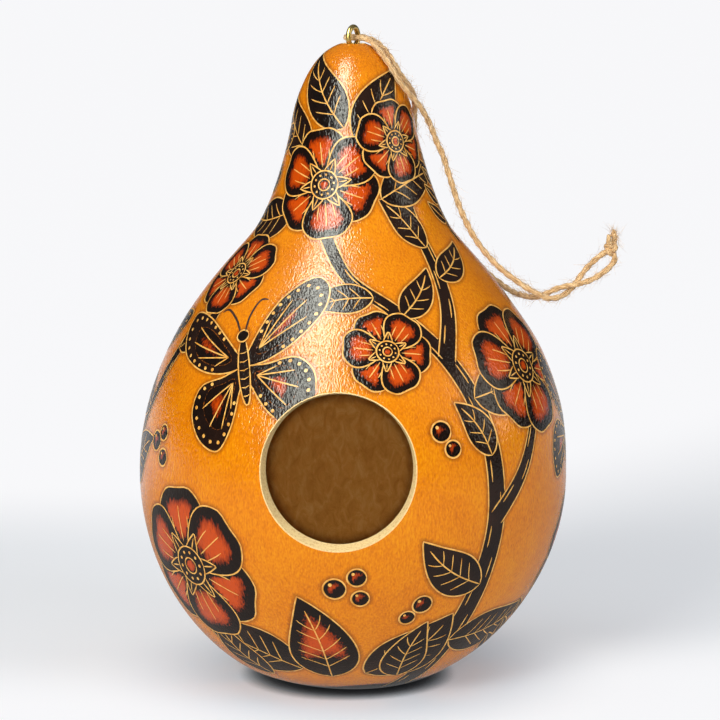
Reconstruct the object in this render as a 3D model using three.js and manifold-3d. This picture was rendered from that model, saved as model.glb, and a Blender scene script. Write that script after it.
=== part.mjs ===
// Gourd birdhouse: a dried bottle gourd with a bored entry hole, a brass screw eye
// in its crown and one loop of jute twine to hang it by.
// Millimetres, +Z up. The gourd stands on its sanded foot at Z = 0, its axis is the Z axis
// and the entry hole faces -Y.
import * as THREE from 'three';
import Module from 'manifold-3d';
import { mergeVertices } from 'three/addons/utils/BufferGeometryUtils.js';

// Gourd outline, from the foot up: each station has a radius and a height,
// and each handle says how far the curve leaves a station along its tangent.
const HEIGHT = 190;
const FOOT_RADIUS = 19.5;
const FOOT_HANDLE_OUT = 26.6;
const FOOT_HANDLE_UP = 6;
const BELLY_RADIUS = 63.6;
const BELLY_HEIGHT = 61;
const BELLY_HANDLE_DOWN = 26;
const BELLY_HANDLE_UP = 40.1;
const WAIST_RADIUS = 29.6;
const WAIST_HEIGHT = 134.2;
const WAIST_LEAN = 0.78;
const WAIST_HANDLE_DOWN = 9.7;
const WAIST_HANDLE_UP = 7.7;
const NECK_RADIUS = 18.2;
const NECK_HEIGHT = 166.7;
const NECK_LEAN = 0.12;
const NECK_HANDLE_DOWN = 4.7;
const NECK_HANDLE_UP = 4;
const CROWN_HANDLE_IN = 13;

// Gourd wall, thicker at the stem end.
const WALL = 4.5;
const CROWN_WALL = 8;

// Entry hole, slightly wider at the outside where its edge is sanded back.
const ENTRY_HEIGHT = 73.3;
const ENTRY_BORE_DIAMETER = 41.6;
const ENTRY_MOUTH_DIAMETER = 43.8;

// Screw eye: one bent brass wire with a cut thread.
const RING_OUTER_DIAMETER = 7.4;
const EYE_WIRE_DIAMETER = 1.6;
const EYE_SINK = 2.4;
const EYE_TURN = THREE.MathUtils.degToRad(-24);
const THREAD_DIAMETER = 2.6;
const THREAD_ROOT_DIAMETER = 1.9;
const THREAD_PITCH = 1.2;
const THREAD_LENGTH = 10.8;
const THREAD_POINT_LENGTH = 2.4;
const SHANK_LENGTH = 1.2;

// Jute twine.
const TWINE_DIAMETER = 1.8;
const HITCH_DROP = 0.2;
const HITCH_SLACK = 1.6;
const HITCH_LEG = 1;
const HITCH_TURN = THREE.MathUtils.degToRad(-12);
const KNOT_CENTRE = new THREE.Vector3(76.1, 5.3, 128.9);
const KNOT_WIDTH = 4.8;
const KNOT_DEPTH = 4.4;
const KNOT_HEIGHT = 4.4;

// Running gap between pieces that touch on the real object.
const CLEARANCE = 0.3;

// How far each cutter runs past the wall that it cuts.
const CUT_MARGIN = 12;

// Facets, and how often the search for a point on the outline is halved.
const GOURD_SEGMENTS = 48;
const OUTSIDE_ROWS = 30;
const INSIDE_ROWS = 22;
const HOLE_SEGMENTS = 40;
const SEAT_SEGMENTS = 24;
const SEAT_ROWS = 16;
const PILOT_SEGMENTS = 16;
const RING_SEGMENTS = 28;
const WIRE_SIDES = 10;
const THREAD_SEGMENTS = 12;
const THREAD_ROWS_PER_TURN = 4;
const TWINE_SIDES = 8;
const HITCH_BENDS = 6;
const HITCH_STEPS = 16;
const STRAND_STEPS = 32;
const TAIL_STEPS = 2;
const KNOT_SEGMENTS = 12;
const KNOT_ROWS = 8;
const HALVINGS = 40;

// The twine's route where it leaves the eye, chosen point by point.
const FRONT_STRAND_ROUTE = [
  [4.8, -1.2, 190.5], [7.0, -3.6, 188.7], [9.2, -5.7, 186.3], [11.4, -6.8, 183.2],
  [13.6, -7.1, 179.6], [16.4, -6.2, 175.8], [19.7, -3.5, 171.4], [22.4, -0.6, 166.4],
  [24.4, 1.3, 161.0], [26.4, 1.8, 156.4], [27.9, 1.9, 151.7], [29.4, 2.1, 147.0],
  [31.0, 2.1, 142.2], [33.0, 2.2, 137.5], [35.5, 2.3, 132.7], [38.9, 2.2, 128.0],
  [43.4, 2.0, 123.3], [49.6, 2.0, 118.6], [54.1, 2.2, 115.9], [57.7, 2.8, 114.3],
  [61.2, 4.4, 114.6], [64.1, 6.0, 116.4], [66.2, 6.6, 119.1], [68.5, 6.4, 122.4],
  [71.4, 5.8, 125.5], [73.5, 5.3, 127.3],
];
const BACK_STRAND_ROUTE = [
  [5.6, 2.4, 190.3], [8.1, -0.2, 188.8], [10.4, -2.6, 186.5], [12.6, -4.1, 183.2],
  [14.6, -4.0, 179.9], [16.6, -1.4, 176.9], [17.7, 3.2, 173.6], [17.6, 8.0, 169.4],
  [17.3, 12.8, 162.6], [17.7, 17.2, 153.6], [19.5, 20.4, 145.5], [23.0, 22.6, 138.0],
  [27.8, 24.2, 131.0], [33.6, 24.7, 124.5], [39.8, 23.2, 118.5], [46.1, 19.3, 114.4],
  [50.6, 13.0, 113.6], [54.1, 7.8, 114.0], [57.0, 5.7, 115.3], [60.3, 4.6, 117.0],
  [63.2, 3.9, 117.9], [66.4, 3.4, 118.6], [70.0, 3.5, 119.7], [72.9, 4.1, 121.3],
  [75.6, 4.8, 123.4], [77.2, 5.3, 125.7],
];
const LONG_TAIL_ROUTE = [[76.9, 6.2, 131.3], [77.0, 6.3, 132.8], [76.8, 6.3, 134.4]];
const SHORT_TAIL_ROUTE = [[75.5, 4.2, 131.2], [75.4, 4.1, 132.2], [75.3, 4.1, 133.2]];

const gourdLacquer = new THREE.MeshStandardMaterial({ color: 0xec8805, roughness: 0.35, metalness: 0 });
const brass = new THREE.MeshStandardMaterial({ color: 0xb5a24a, roughness: 0.3, metalness: 1 });
const jute = new THREE.MeshStandardMaterial({ color: 0xc8a075, roughness: 0.95, metalness: 0 });

const wasm = await Module();
wasm.setup();

// Turns a closed three.js geometry into a solid that can be joined and cut.
function solidFrom(geometry) {
  const bare = geometry.index ? geometry.toNonIndexed() : geometry.clone();
  bare.deleteAttribute('normal');
  bare.deleteAttribute('uv');
  const merged = mergeVertices(bare, 1e-4);
  const corners = merged.index.array;
  const triangles = [];
  for (let i = 0; i < corners.length; i += 3) {
    const [a, b, c] = [corners[i], corners[i + 1], corners[i + 2]];
    if (a !== b && b !== c && c !== a) triangles.push(a, b, c);
  }
  const mesh = new wasm.Mesh({
    numProp: 3,
    vertProperties: new Float32Array(merged.attributes.position.array),
    triVerts: new Uint32Array(triangles),
  });
  return new wasm.Manifold(mesh);
}

// Turns a joined or cut solid back into a three.js geometry.
function geometryFrom(solid) {
  const mesh = solid.getMesh();
  const geometry = new THREE.BufferGeometry();
  geometry.setAttribute('position', new THREE.BufferAttribute(mesh.vertProperties, 3));
  geometry.setIndex(new THREE.BufferAttribute(mesh.triVerts, 1));
  geometry.computeVertexNormals();
  return geometry;
}

function namedMesh(name, geometry, material) {
  const mesh = new THREE.Mesh(geometry, material);
  mesh.name = name;
  return mesh;
}

// A profile of radius and height, turned about the Z axis.
function turned(profile, segments) {
  return new THREE.LatheGeometry(profile, segments).rotateX(Math.PI / 2);
}

// The gourd's outside from the edge of its foot to the top of its crown.
function gourdOutline() {
  const outline = new THREE.Path();
  outline.moveTo(FOOT_RADIUS, 0);
  outline.bezierCurveTo(
    FOOT_RADIUS + FOOT_HANDLE_OUT, FOOT_HANDLE_UP,
    BELLY_RADIUS, BELLY_HEIGHT - BELLY_HANDLE_DOWN,
    BELLY_RADIUS, BELLY_HEIGHT,
  );
  outline.bezierCurveTo(
    BELLY_RADIUS, BELLY_HEIGHT + BELLY_HANDLE_UP,
    WAIST_RADIUS + WAIST_HANDLE_DOWN * WAIST_LEAN, WAIST_HEIGHT - WAIST_HANDLE_DOWN,
    WAIST_RADIUS, WAIST_HEIGHT,
  );
  outline.bezierCurveTo(
    WAIST_RADIUS - WAIST_HANDLE_UP * WAIST_LEAN, WAIST_HEIGHT + WAIST_HANDLE_UP,
    NECK_RADIUS + NECK_HANDLE_DOWN * NECK_LEAN, NECK_HEIGHT - NECK_HANDLE_DOWN,
    NECK_RADIUS, NECK_HEIGHT,
  );
  outline.bezierCurveTo(
    NECK_RADIUS - NECK_HANDLE_UP * NECK_LEAN, NECK_HEIGHT + NECK_HANDLE_UP,
    CROWN_HANDLE_IN, HEIGHT,
    0, HEIGHT,
  );
  return outline;
}

// The wall's thickness at a height: even up to the neck, then growing to the crown.
function wallAt(height) {
  const grown = THREE.MathUtils.smoothstep(height, NECK_HEIGHT, HEIGHT);
  return THREE.MathUtils.lerp(WALL, CROWN_WALL, grown);
}

// The hollow's outline: the outside moved inwards by the wall.
function hollowProfile(outline) {
  const profile = [new THREE.Vector2(0, WALL)];
  for (let row = 0; row <= INSIDE_ROWS; row += 1) {
    const along = row / INSIDE_ROWS;
    const point = outline.getPointAt(along);
    const tangent = outline.getTangentAt(along);
    const wall = wallAt(point.y);
    profile.push(new THREE.Vector2(point.x - tangent.y * wall, point.y + tangent.x * wall));
  }
  profile[profile.length - 1].set(0, HEIGHT - CROWN_WALL);
  return profile;
}

// The outside radius of the gourd at a height.
function outsideRadiusAt(outline, height) {
  let low = 0;
  let high = 1;
  for (let round = 0; round < HALVINGS; round += 1) {
    const middle = (low + high) / 2;
    if (outline.getPointAt(middle).y < height) low = middle;
    else high = middle;
  }
  return outline.getPointAt(low).x;
}

// The entry hole's cutter: a cone through the wall, as wide as the mouth where
// the rim meets the outside and as wide as the bore one wall further in.
function entryCutter(outline) {
  const mouthRadius = ENTRY_MOUTH_DIAMETER / 2;
  const boreRadius = ENTRY_BORE_DIAMETER / 2;
  const outside = outsideRadiusAt(outline, ENTRY_HEIGHT);
  const rimDepth = Math.sqrt(outside ** 2 - mouthRadius ** 2);
  const growth = (mouthRadius - boreRadius) / WALL;
  const outerRadius = mouthRadius + growth * CUT_MARGIN;
  const innerRadius = boreRadius - growth * CUT_MARGIN;
  const length = WALL + 2 * CUT_MARGIN;
  const cone = new THREE.CylinderGeometry(innerRadius, outerRadius, length, HOLE_SEGMENTS);
  return cone.translate(0, WALL / 2 - rimDepth, 0).translate(0, 0, ENTRY_HEIGHT);
}

const eyeCentre = new THREE.Vector3(0, 0, HEIGHT - EYE_SINK + RING_OUTER_DIAMETER / 2);
const ringRadius = (RING_OUTER_DIAMETER - EYE_WIRE_DIAMETER) / 2;
const threadTop = eyeCentre.z - ringRadius - SHANK_LENGTH;

function gourdShell() {
  const outline = gourdOutline();
  const outside = [new THREE.Vector2(0, 0), ...outline.getSpacedPoints(OUTSIDE_ROWS)];
  outside[outside.length - 1].set(0, HEIGHT);
  const stemSeat = new THREE.SphereGeometry(RING_OUTER_DIAMETER / 2 + CLEARANCE, SEAT_SEGMENTS, SEAT_ROWS);
  stemSeat.translate(eyeCentre.x, eyeCentre.y, eyeCentre.z);
  const pilotRadius = THREAD_DIAMETER / 2 + CLEARANCE;
  const pilotLength = RING_OUTER_DIAMETER + THREAD_LENGTH + CROWN_WALL;
  const pilot = new THREE.CylinderGeometry(pilotRadius, pilotRadius, pilotLength, PILOT_SEGMENTS);
  pilot.rotateX(Math.PI / 2).translate(0, 0, eyeCentre.z - pilotLength / 2);
  const shell = solidFrom(turned(outside, GOURD_SEGMENTS))
    .subtract(solidFrom(turned(hollowProfile(outline), GOURD_SEGMENTS)))
    .subtract(solidFrom(entryCutter(outline)))
    .subtract(solidFrom(stemSeat))
    .subtract(solidFrom(pilot));
  return namedMesh('gourd_shell', geometryFrom(shell), gourdLacquer);
}

// The thread as a radius that rises and falls along a helix and shrinks to a point.
function threadGeometry() {
  const rows = Math.round((THREAD_LENGTH / THREAD_PITCH) * THREAD_ROWS_PER_TURN);
  const root = THREAD_ROOT_DIAMETER / 2;
  const crest = THREAD_DIAMETER / 2;
  const positions = [0, 0, 0];
  for (let row = 1; row <= rows; row += 1) {
    const height = (THREAD_LENGTH * row) / rows;
    const point = Math.min(1, height / THREAD_POINT_LENGTH);
    for (let side = 0; side < THREAD_SEGMENTS; side += 1) {
      const turn = side / THREAD_SEGMENTS;
      const phase = THREE.MathUtils.euclideanModulo(height / THREAD_PITCH - turn, 1);
      const ridge = 1 - Math.abs(2 * phase - 1);
      const radius = point * THREE.MathUtils.lerp(root, crest, ridge);
      const angle = turn * 2 * Math.PI;
      positions.push(radius * Math.cos(angle), radius * Math.sin(angle), height);
    }
  }
  positions.push(0, 0, THREAD_LENGTH);
  const top = rows * THREAD_SEGMENTS + 1;
  const corner = (row, side) => 1 + (row - 1) * THREAD_SEGMENTS + (side % THREAD_SEGMENTS);
  const triangles = [];
  for (let side = 0; side < THREAD_SEGMENTS; side += 1) {
    triangles.push(0, corner(1, side + 1), corner(1, side));
    for (let row = 1; row < rows; row += 1) {
      triangles.push(corner(row, side), corner(row, side + 1), corner(row + 1, side));
      triangles.push(corner(row, side + 1), corner(row + 1, side + 1), corner(row + 1, side));
    }
    triangles.push(top, corner(rows, side), corner(rows, side + 1));
  }
  const geometry = new THREE.BufferGeometry();
  geometry.setAttribute('position', new THREE.Float32BufferAttribute(positions, 3));
  geometry.setIndex(triangles);
  return geometry;
}

function screwEye() {
  const ring = new THREE.TorusGeometry(ringRadius, EYE_WIRE_DIAMETER / 2, WIRE_SIDES, RING_SEGMENTS);
  ring.rotateY(Math.PI / 2).rotateZ(EYE_TURN);
  ring.translate(eyeCentre.x, eyeCentre.y, eyeCentre.z);
  const shankRadius = EYE_WIRE_DIAMETER / 2;
  const shank = new THREE.CylinderGeometry(shankRadius, shankRadius, 2 * SHANK_LENGTH, WIRE_SIDES);
  shank.rotateX(Math.PI / 2).translate(0, 0, threadTop);
  const thread = threadGeometry().translate(0, 0, threadTop - THREAD_LENGTH);
  const eye = solidFrom(ring).add(solidFrom(shank)).add(solidFrom(thread));
  return namedMesh('screw_eye', geometryFrom(eye), brass);
}

// A round cord swept along a smooth curve through its points.
function cordAlong(points, steps) {
  const radius = TWINE_DIAMETER / 2;
  const corners = [];
  for (let side = 0; side < TWINE_SIDES; side += 1) {
    const angle = (side / TWINE_SIDES) * 2 * Math.PI;
    corners.push(new THREE.Vector2(radius * Math.cos(angle), radius * Math.sin(angle)));
  }
  const route = new THREE.CatmullRomCurve3(points, false, 'centripetal');
  const section = new THREE.Shape(corners);
  return new THREE.ExtrudeGeometry(section, { steps, extrudePath: route, bevelEnabled: false });
}

function vectors(route) {
  return route.map((point) => new THREE.Vector3(...point));
}

// The twine turns about the back wire of the ring, seen from above.
const hitchRadius = EYE_WIRE_DIAMETER / 2 + TWINE_DIAMETER / 2 + CLEARANCE;
const wireReach = Math.sqrt(ringRadius ** 2 - HITCH_DROP ** 2);
const hitchPivot = new THREE.Vector3(0, wireReach, -HITCH_DROP)
  .applyAxisAngle(new THREE.Vector3(0, 0, 1), EYE_TURN)
  .add(eyeCentre);

// A point of the hitch: how far out towards the loop, and how far across it to the back.
function hitchPoint(out, across) {
  return new THREE.Vector3(out, across, 0)
    .applyAxisAngle(new THREE.Vector3(0, 0, 1), HITCH_TURN)
    .add(hitchPivot);
}

function twineHitch() {
  const points = [hitchPoint(HITCH_LEG, -hitchRadius)];
  for (let bend = 0; bend <= HITCH_BENDS; bend += 1) {
    const angle = (bend / HITCH_BENDS) * Math.PI;
    const out = -HITCH_SLACK - hitchRadius * Math.sin(angle);
    points.push(hitchPoint(out, -hitchRadius * Math.cos(angle)));
  }
  points.push(hitchPoint(HITCH_LEG, hitchRadius));
  return namedMesh('twine_hitch', cordAlong(points, HITCH_STEPS), jute);
}

function twineStrand(name, across, route) {
  const start = hitchPoint(HITCH_LEG + CLEARANCE, across);
  return namedMesh(name, cordAlong([start, ...vectors(route)], STRAND_STEPS), jute);
}

function twineKnot() {
  const knot = new THREE.SphereGeometry(0.5, KNOT_SEGMENTS, KNOT_ROWS);
  knot.scale(KNOT_WIDTH, KNOT_HEIGHT, KNOT_DEPTH).rotateX(Math.PI / 2);
  knot.translate(KNOT_CENTRE.x, KNOT_CENTRE.y, KNOT_CENTRE.z);
  return namedMesh('twine_knot', knot, jute);
}

function twineTail(name, route) {
  return namedMesh(name, cordAlong(vectors(route), TAIL_STEPS), jute);
}

const birdhouse = new THREE.Group();
birdhouse.add(gourdShell(), screwEye());

const hangingLoop = new THREE.Group();
hangingLoop.add(
  twineHitch(),
  twineStrand('twine_front_strand', -hitchRadius, FRONT_STRAND_ROUTE),
  twineStrand('twine_back_strand', hitchRadius, BACK_STRAND_ROUTE),
  twineKnot(),
  twineTail('twine_long_tail', LONG_TAIL_ROUTE),
  twineTail('twine_short_tail', SHORT_TAIL_ROUTE),
);
birdhouse.add(hangingLoop);

export default birdhouse;
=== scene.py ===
"""Looks of the gourd birdhouse: a lacquered gourd, its brass screw eye and its jute loop.

Lengths are millimetres until a mesh is made, and the Blender scene is in metres. Angles round
the gourd start at the entry hole, which faces -Y, and grow towards +X.
"""
import logging
import math
from dataclasses import dataclass, field
from enum import Enum
from functools import partial
from typing import Callable, Sequence

import bpy
import numpy as np
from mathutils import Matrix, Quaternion, Vector


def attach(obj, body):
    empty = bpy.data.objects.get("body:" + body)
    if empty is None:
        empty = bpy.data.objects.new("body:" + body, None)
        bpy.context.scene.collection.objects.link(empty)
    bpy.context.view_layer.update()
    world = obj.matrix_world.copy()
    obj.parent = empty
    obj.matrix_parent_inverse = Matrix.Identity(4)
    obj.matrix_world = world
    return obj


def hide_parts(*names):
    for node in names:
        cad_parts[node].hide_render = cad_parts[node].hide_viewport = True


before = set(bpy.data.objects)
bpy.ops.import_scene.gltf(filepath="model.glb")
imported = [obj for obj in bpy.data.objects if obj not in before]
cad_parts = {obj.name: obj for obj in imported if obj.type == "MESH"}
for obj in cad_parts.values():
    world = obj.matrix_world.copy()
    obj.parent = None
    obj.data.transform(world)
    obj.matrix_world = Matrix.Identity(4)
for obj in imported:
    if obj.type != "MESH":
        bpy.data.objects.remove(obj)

LOG = logging.getLogger("gourd_birdhouse")
MM = 0.001
FULL_TURN = 2.0 * math.pi
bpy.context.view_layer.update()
Array = np.ndarray
Material = bpy.types.Material
Object = bpy.types.Object
AddNode = Callable[..., bpy.types.Node]
Block = tuple[int, int, int, int]
Pair = tuple[float, float]
Point = tuple[float, float, float]

# Socket numbers of the Mix node when it mixes colours.
MIX_FACTOR = 0
MIX_A = 6
MIX_B = 7
MIX_RESULT = 2

# Faces that meet at more than this many degrees keep a sharp edge.
SHARP_DEGREES = 48.0

# Samples of a smooth route for each of its points, before it is sampled evenly.
ROUTE_SAMPLES = 40

# The mark of a point that is far from every burnt or dyed shape, in millimetres.
FAR = 9.0

# Stands in for a length of nought where a division follows.
TINY = 1e-12


def linear(colour: str) -> tuple[float, float, float, float]:
    """Turns an sRGB hex value into linear red, green, blue and a full alpha.

    A part up to 0.04045 is divided by 12.92, and above that it goes through a power of 2.4.

    Args:
        colour: six hex digits after a hash.

    Returns:
        Four numbers for a colour socket.
    """
    parts = np.array([int(colour[at:at + 2], 16) for at in (1, 3, 5)]) / 255.0
    curve = ((parts + 0.055) / 1.055) ** 2.4
    red, green, blue = np.where(parts <= 0.04045, parts / 12.92, curve)
    return (float(red), float(green), float(blue), 1.0)


def smoothstep(low: float, high: float, value: Array) -> Array:
    """Eases from 0 at low to 1 at high with the cubic 3t^2 - 2t^3."""
    share = np.clip((value - low) / (high - low), 0.0, 1.0)
    return share * share * (3.0 - 2.0 * share)


def add_node(tree: bpy.types.NodeTree, kind: str, inputs: dict | None = None, **settings) -> bpy.types.Node:
    """Adds one shader node, sets it up and links it.

    Args:
        tree: the material's or world's node tree.
        kind: Blender's name for the node.
        inputs: socket name or number, and a value to set, a socket to link, or a node whose first output
            is linked.
        settings: properties of the node itself.

    Returns:
        The new node.
    """
    made = tree.nodes.new(kind)
    for name, value in settings.items():
        setattr(made, name, value)
    for name, value in (inputs or {}).items():
        socket = made.inputs[name]
        if isinstance(value, bpy.types.Node):
            value = value.outputs[0]
        if isinstance(value, bpy.types.NodeSocket):
            tree.links.new(value, socket)
        else:
            socket.default_value = value
    return made


def blank_material(name: str) -> tuple[Material, AddNode]:
    """Makes an empty node material.

    Args:
        name: its name.

    Returns:
        The material, and add_node for its tree.
    """
    material = bpy.data.materials.new(name)
    material.use_nodes = True
    material.node_tree.nodes.clear()
    return material, partial(add_node, material.node_tree)


def close_material(add: AddNode, shader: bpy.types.Node) -> None:
    """Links a shader's first output to the material's surface."""
    add("ShaderNodeOutputMaterial", {"Surface": shader})


def places_mm(add: AddNode, rise: float = 1.0) -> bpy.types.Node:
    """Places on the piece in millimetres; a rise below 1 draws out upright what is read there."""
    places = add("ShaderNodeTexCoord").outputs["Object"]
    return add("ShaderNodeMapping", {"Vector": places, "Scale": (1.0 / MM, 1.0 / MM, rise / MM)})


def ramp_colours(node: bpy.types.Node, stops: Sequence[tuple[float, str]]) -> None:
    """Sets a colour ramp's stops.

    Args:
        node: the ramp node.
        stops: place from 0 to 1 and the sRGB hex colour there, in order.
    """
    elements = node.color_ramp.elements
    while len(elements) < len(stops):
        elements.new(1.0)
    for element, (place, colour) in zip(elements, stops):
        element.position = place
        element.color = linear(colour)


@dataclass(frozen=True)
class Skin:
    """Points in millimetres, with blocks of faces that all have three or all have four corners."""

    points: Array
    blocks: tuple[Array, ...]


def joined(skins: Sequence[Skin]) -> Skin:
    """Lays several skins into one, each with its own points.

    Args:
        skins: the skins, in order.

    Returns:
        The one skin.
    """
    starts = np.cumsum([0] + [len(skin.points) for skin in skins[:-1]])
    blocks = tuple(block + start for skin, start in zip(skins, starts) for block in skin.blocks)
    return Skin(np.vstack([skin.points for skin in skins]), blocks)


def table_quads(numbers: Array, wraps: bool = True) -> Array:
    """Quads between the rows of a table of point numbers.

    Args:
        numbers: the table, one row of points after another.
        wraps: whether the last column joins the first.

    Returns:
        Corner numbers, four to a face; the normal is across the columns times along the rows.
    """
    following = np.roll(numbers, -1, axis=1)
    if not wraps:
        numbers, following = numbers[:, :-1], following[:, :-1]
    return np.stack([numbers[:-1], following[:-1], following[1:], numbers[1:]], axis=-1).reshape(-1, 4)


def cap(row: Array, tip: int) -> Array:
    """Triangles from a table's last row to a tip, turned as its quads are; reversed, they fit its first."""
    return np.stack([row, np.roll(row, -1), np.full(len(row), tip)], axis=1)


def thinning(fine: Array, coarse: Array) -> Array:
    """Triangles from a closed row to one with half as many points, turned as a table's quads are.

    Args:
        fine: numbers of the points in the closed row.
        coarse: those of the other row.

    Returns:
        The triangles.
    """
    first, odd, second = fine[0::2], fine[1::2], np.roll(fine[0::2], -1)
    after = np.roll(coarse, -1)
    return np.vstack([np.stack([first, odd, coarse], axis=1), np.stack([odd, second, after], axis=1),
                      np.stack([odd, after, coarse], axis=1)])


def frame_of(table: Array, block: Block) -> Array:
    """The border of a block of a table, walked from its low left corner, right, up and back.

    Args:
        table: point numbers in rows.
        block: first and last row and column.

    Returns:
        The border's point numbers.
    """
    low, high, left, right = block
    return np.concatenate([table[low, left:right], table[low:high, right],
                           table[high, right:left:-1], table[high:low:-1, left]])


def open_block(table: Array, block: Block) -> Array:
    """Quads of a wrapped table, apart from those inside a block.

    Args:
        table: point numbers in rows.
        block: first and last row and column.

    Returns:
        The quads.
    """
    faces = table_quads(table).reshape(table.shape[0] - 1, table.shape[1], 4)
    keep = np.ones(faces.shape[:2], bool)
    low, high, left, right = block
    keep[low:high, left:right] = False
    return faces[keep]


def used_points(skin: Skin) -> tuple[Array, Skin]:
    """Leaves out points that no face has, such as those inside the hole's block.

    Args:
        skin: the skin.

    Returns:
        Numbers of the points that stay, and the skin of those alone.
    """
    used = np.unique(np.concatenate([block.ravel() for block in skin.blocks]))
    number = np.full(len(skin.points), -1)
    number[used] = np.arange(len(used))
    return used, Skin(skin.points[used], tuple(number[block] for block in skin.blocks))


def unit(vectors: Array) -> Array:
    """Rows of vectors, each divided by its length."""
    return vectors / np.linalg.norm(vectors, axis=1, keepdims=True)


def turns(count: int) -> Array:
    """Even angles round a full turn, without its end."""
    return np.linspace(0.0, FULL_TURN, count, endpoint=False)


def circle(count: int) -> Array:
    """Even points on a circle of radius 1 round the origin of a plane."""
    around = turns(count)
    return np.stack([np.cos(around), np.sin(around)], axis=1)


def round_axis(angle: Array, radius: Array, up: Array) -> Array:
    """Points round the gourd's axis: r sin a, -r cos a and the height."""
    return np.stack(np.broadcast_arrays(radius * np.sin(angle), -radius * np.cos(angle), up), axis=-1)


def run_along(line: Array) -> Array:
    """The length along a line at each of its points."""
    return np.concatenate([[0.0], np.cumsum(np.linalg.norm(np.diff(line, axis=0), axis=1))])


def line_length(line: Array) -> float:
    """The length of a line."""
    return float(np.linalg.norm(np.diff(line, axis=0), axis=1).sum())


def make_piece(name: str, skin: Skin, finishes: Sequence[Material],
               slots: Sequence[int] | None = None, marks: dict[str, Array] | None = None,
               corner_uv: Array | None = None) -> Object:
    """Puts a skin into a smooth mesh object at the origin.

    Args:
        name: the piece's name.
        skin: points and faces, in millimetres.
        finishes: the piece's materials.
        slots: the material of each face block, the first one if left out.
        marks: numbers per point that the materials read.
        corner_uv: a UV pair for each face corner, in face order.

    Returns:
        The new object, linked to the scene.
    """
    mesh = bpy.data.meshes.new(name)
    faces = [face for block in skin.blocks for face in block.tolist()]
    mesh.from_pydata((skin.points * MM).tolist(), [], faces)
    for finish in finishes:
        mesh.materials.append(finish)
    if slots is not None:
        index = np.concatenate([np.full(len(block), slot) for block, slot in zip(skin.blocks, slots)])
        mesh.polygons.foreach_set("material_index", index.astype(np.int32))
    for mark, values in (marks or {}).items():
        layer = mesh.attributes.new(mark, "FLOAT", "POINT")
        layer.data.foreach_set("value", values.astype(np.float32))
    if corner_uv is not None:
        layer = mesh.uv_layers.new(name="lay")
        layer.data.foreach_set("uv", corner_uv.astype(np.float32).ravel())
    mesh.shade_smooth()
    mesh.set_sharp_from_angle(angle=math.radians(SHARP_DEGREES))
    mesh.update()
    piece = bpy.data.objects.new(name, mesh)
    bpy.context.scene.collection.objects.link(piece)
    LOG.info("%s: %d points, %d faces", name, len(mesh.vertices), len(mesh.polygons))
    return piece


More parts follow.
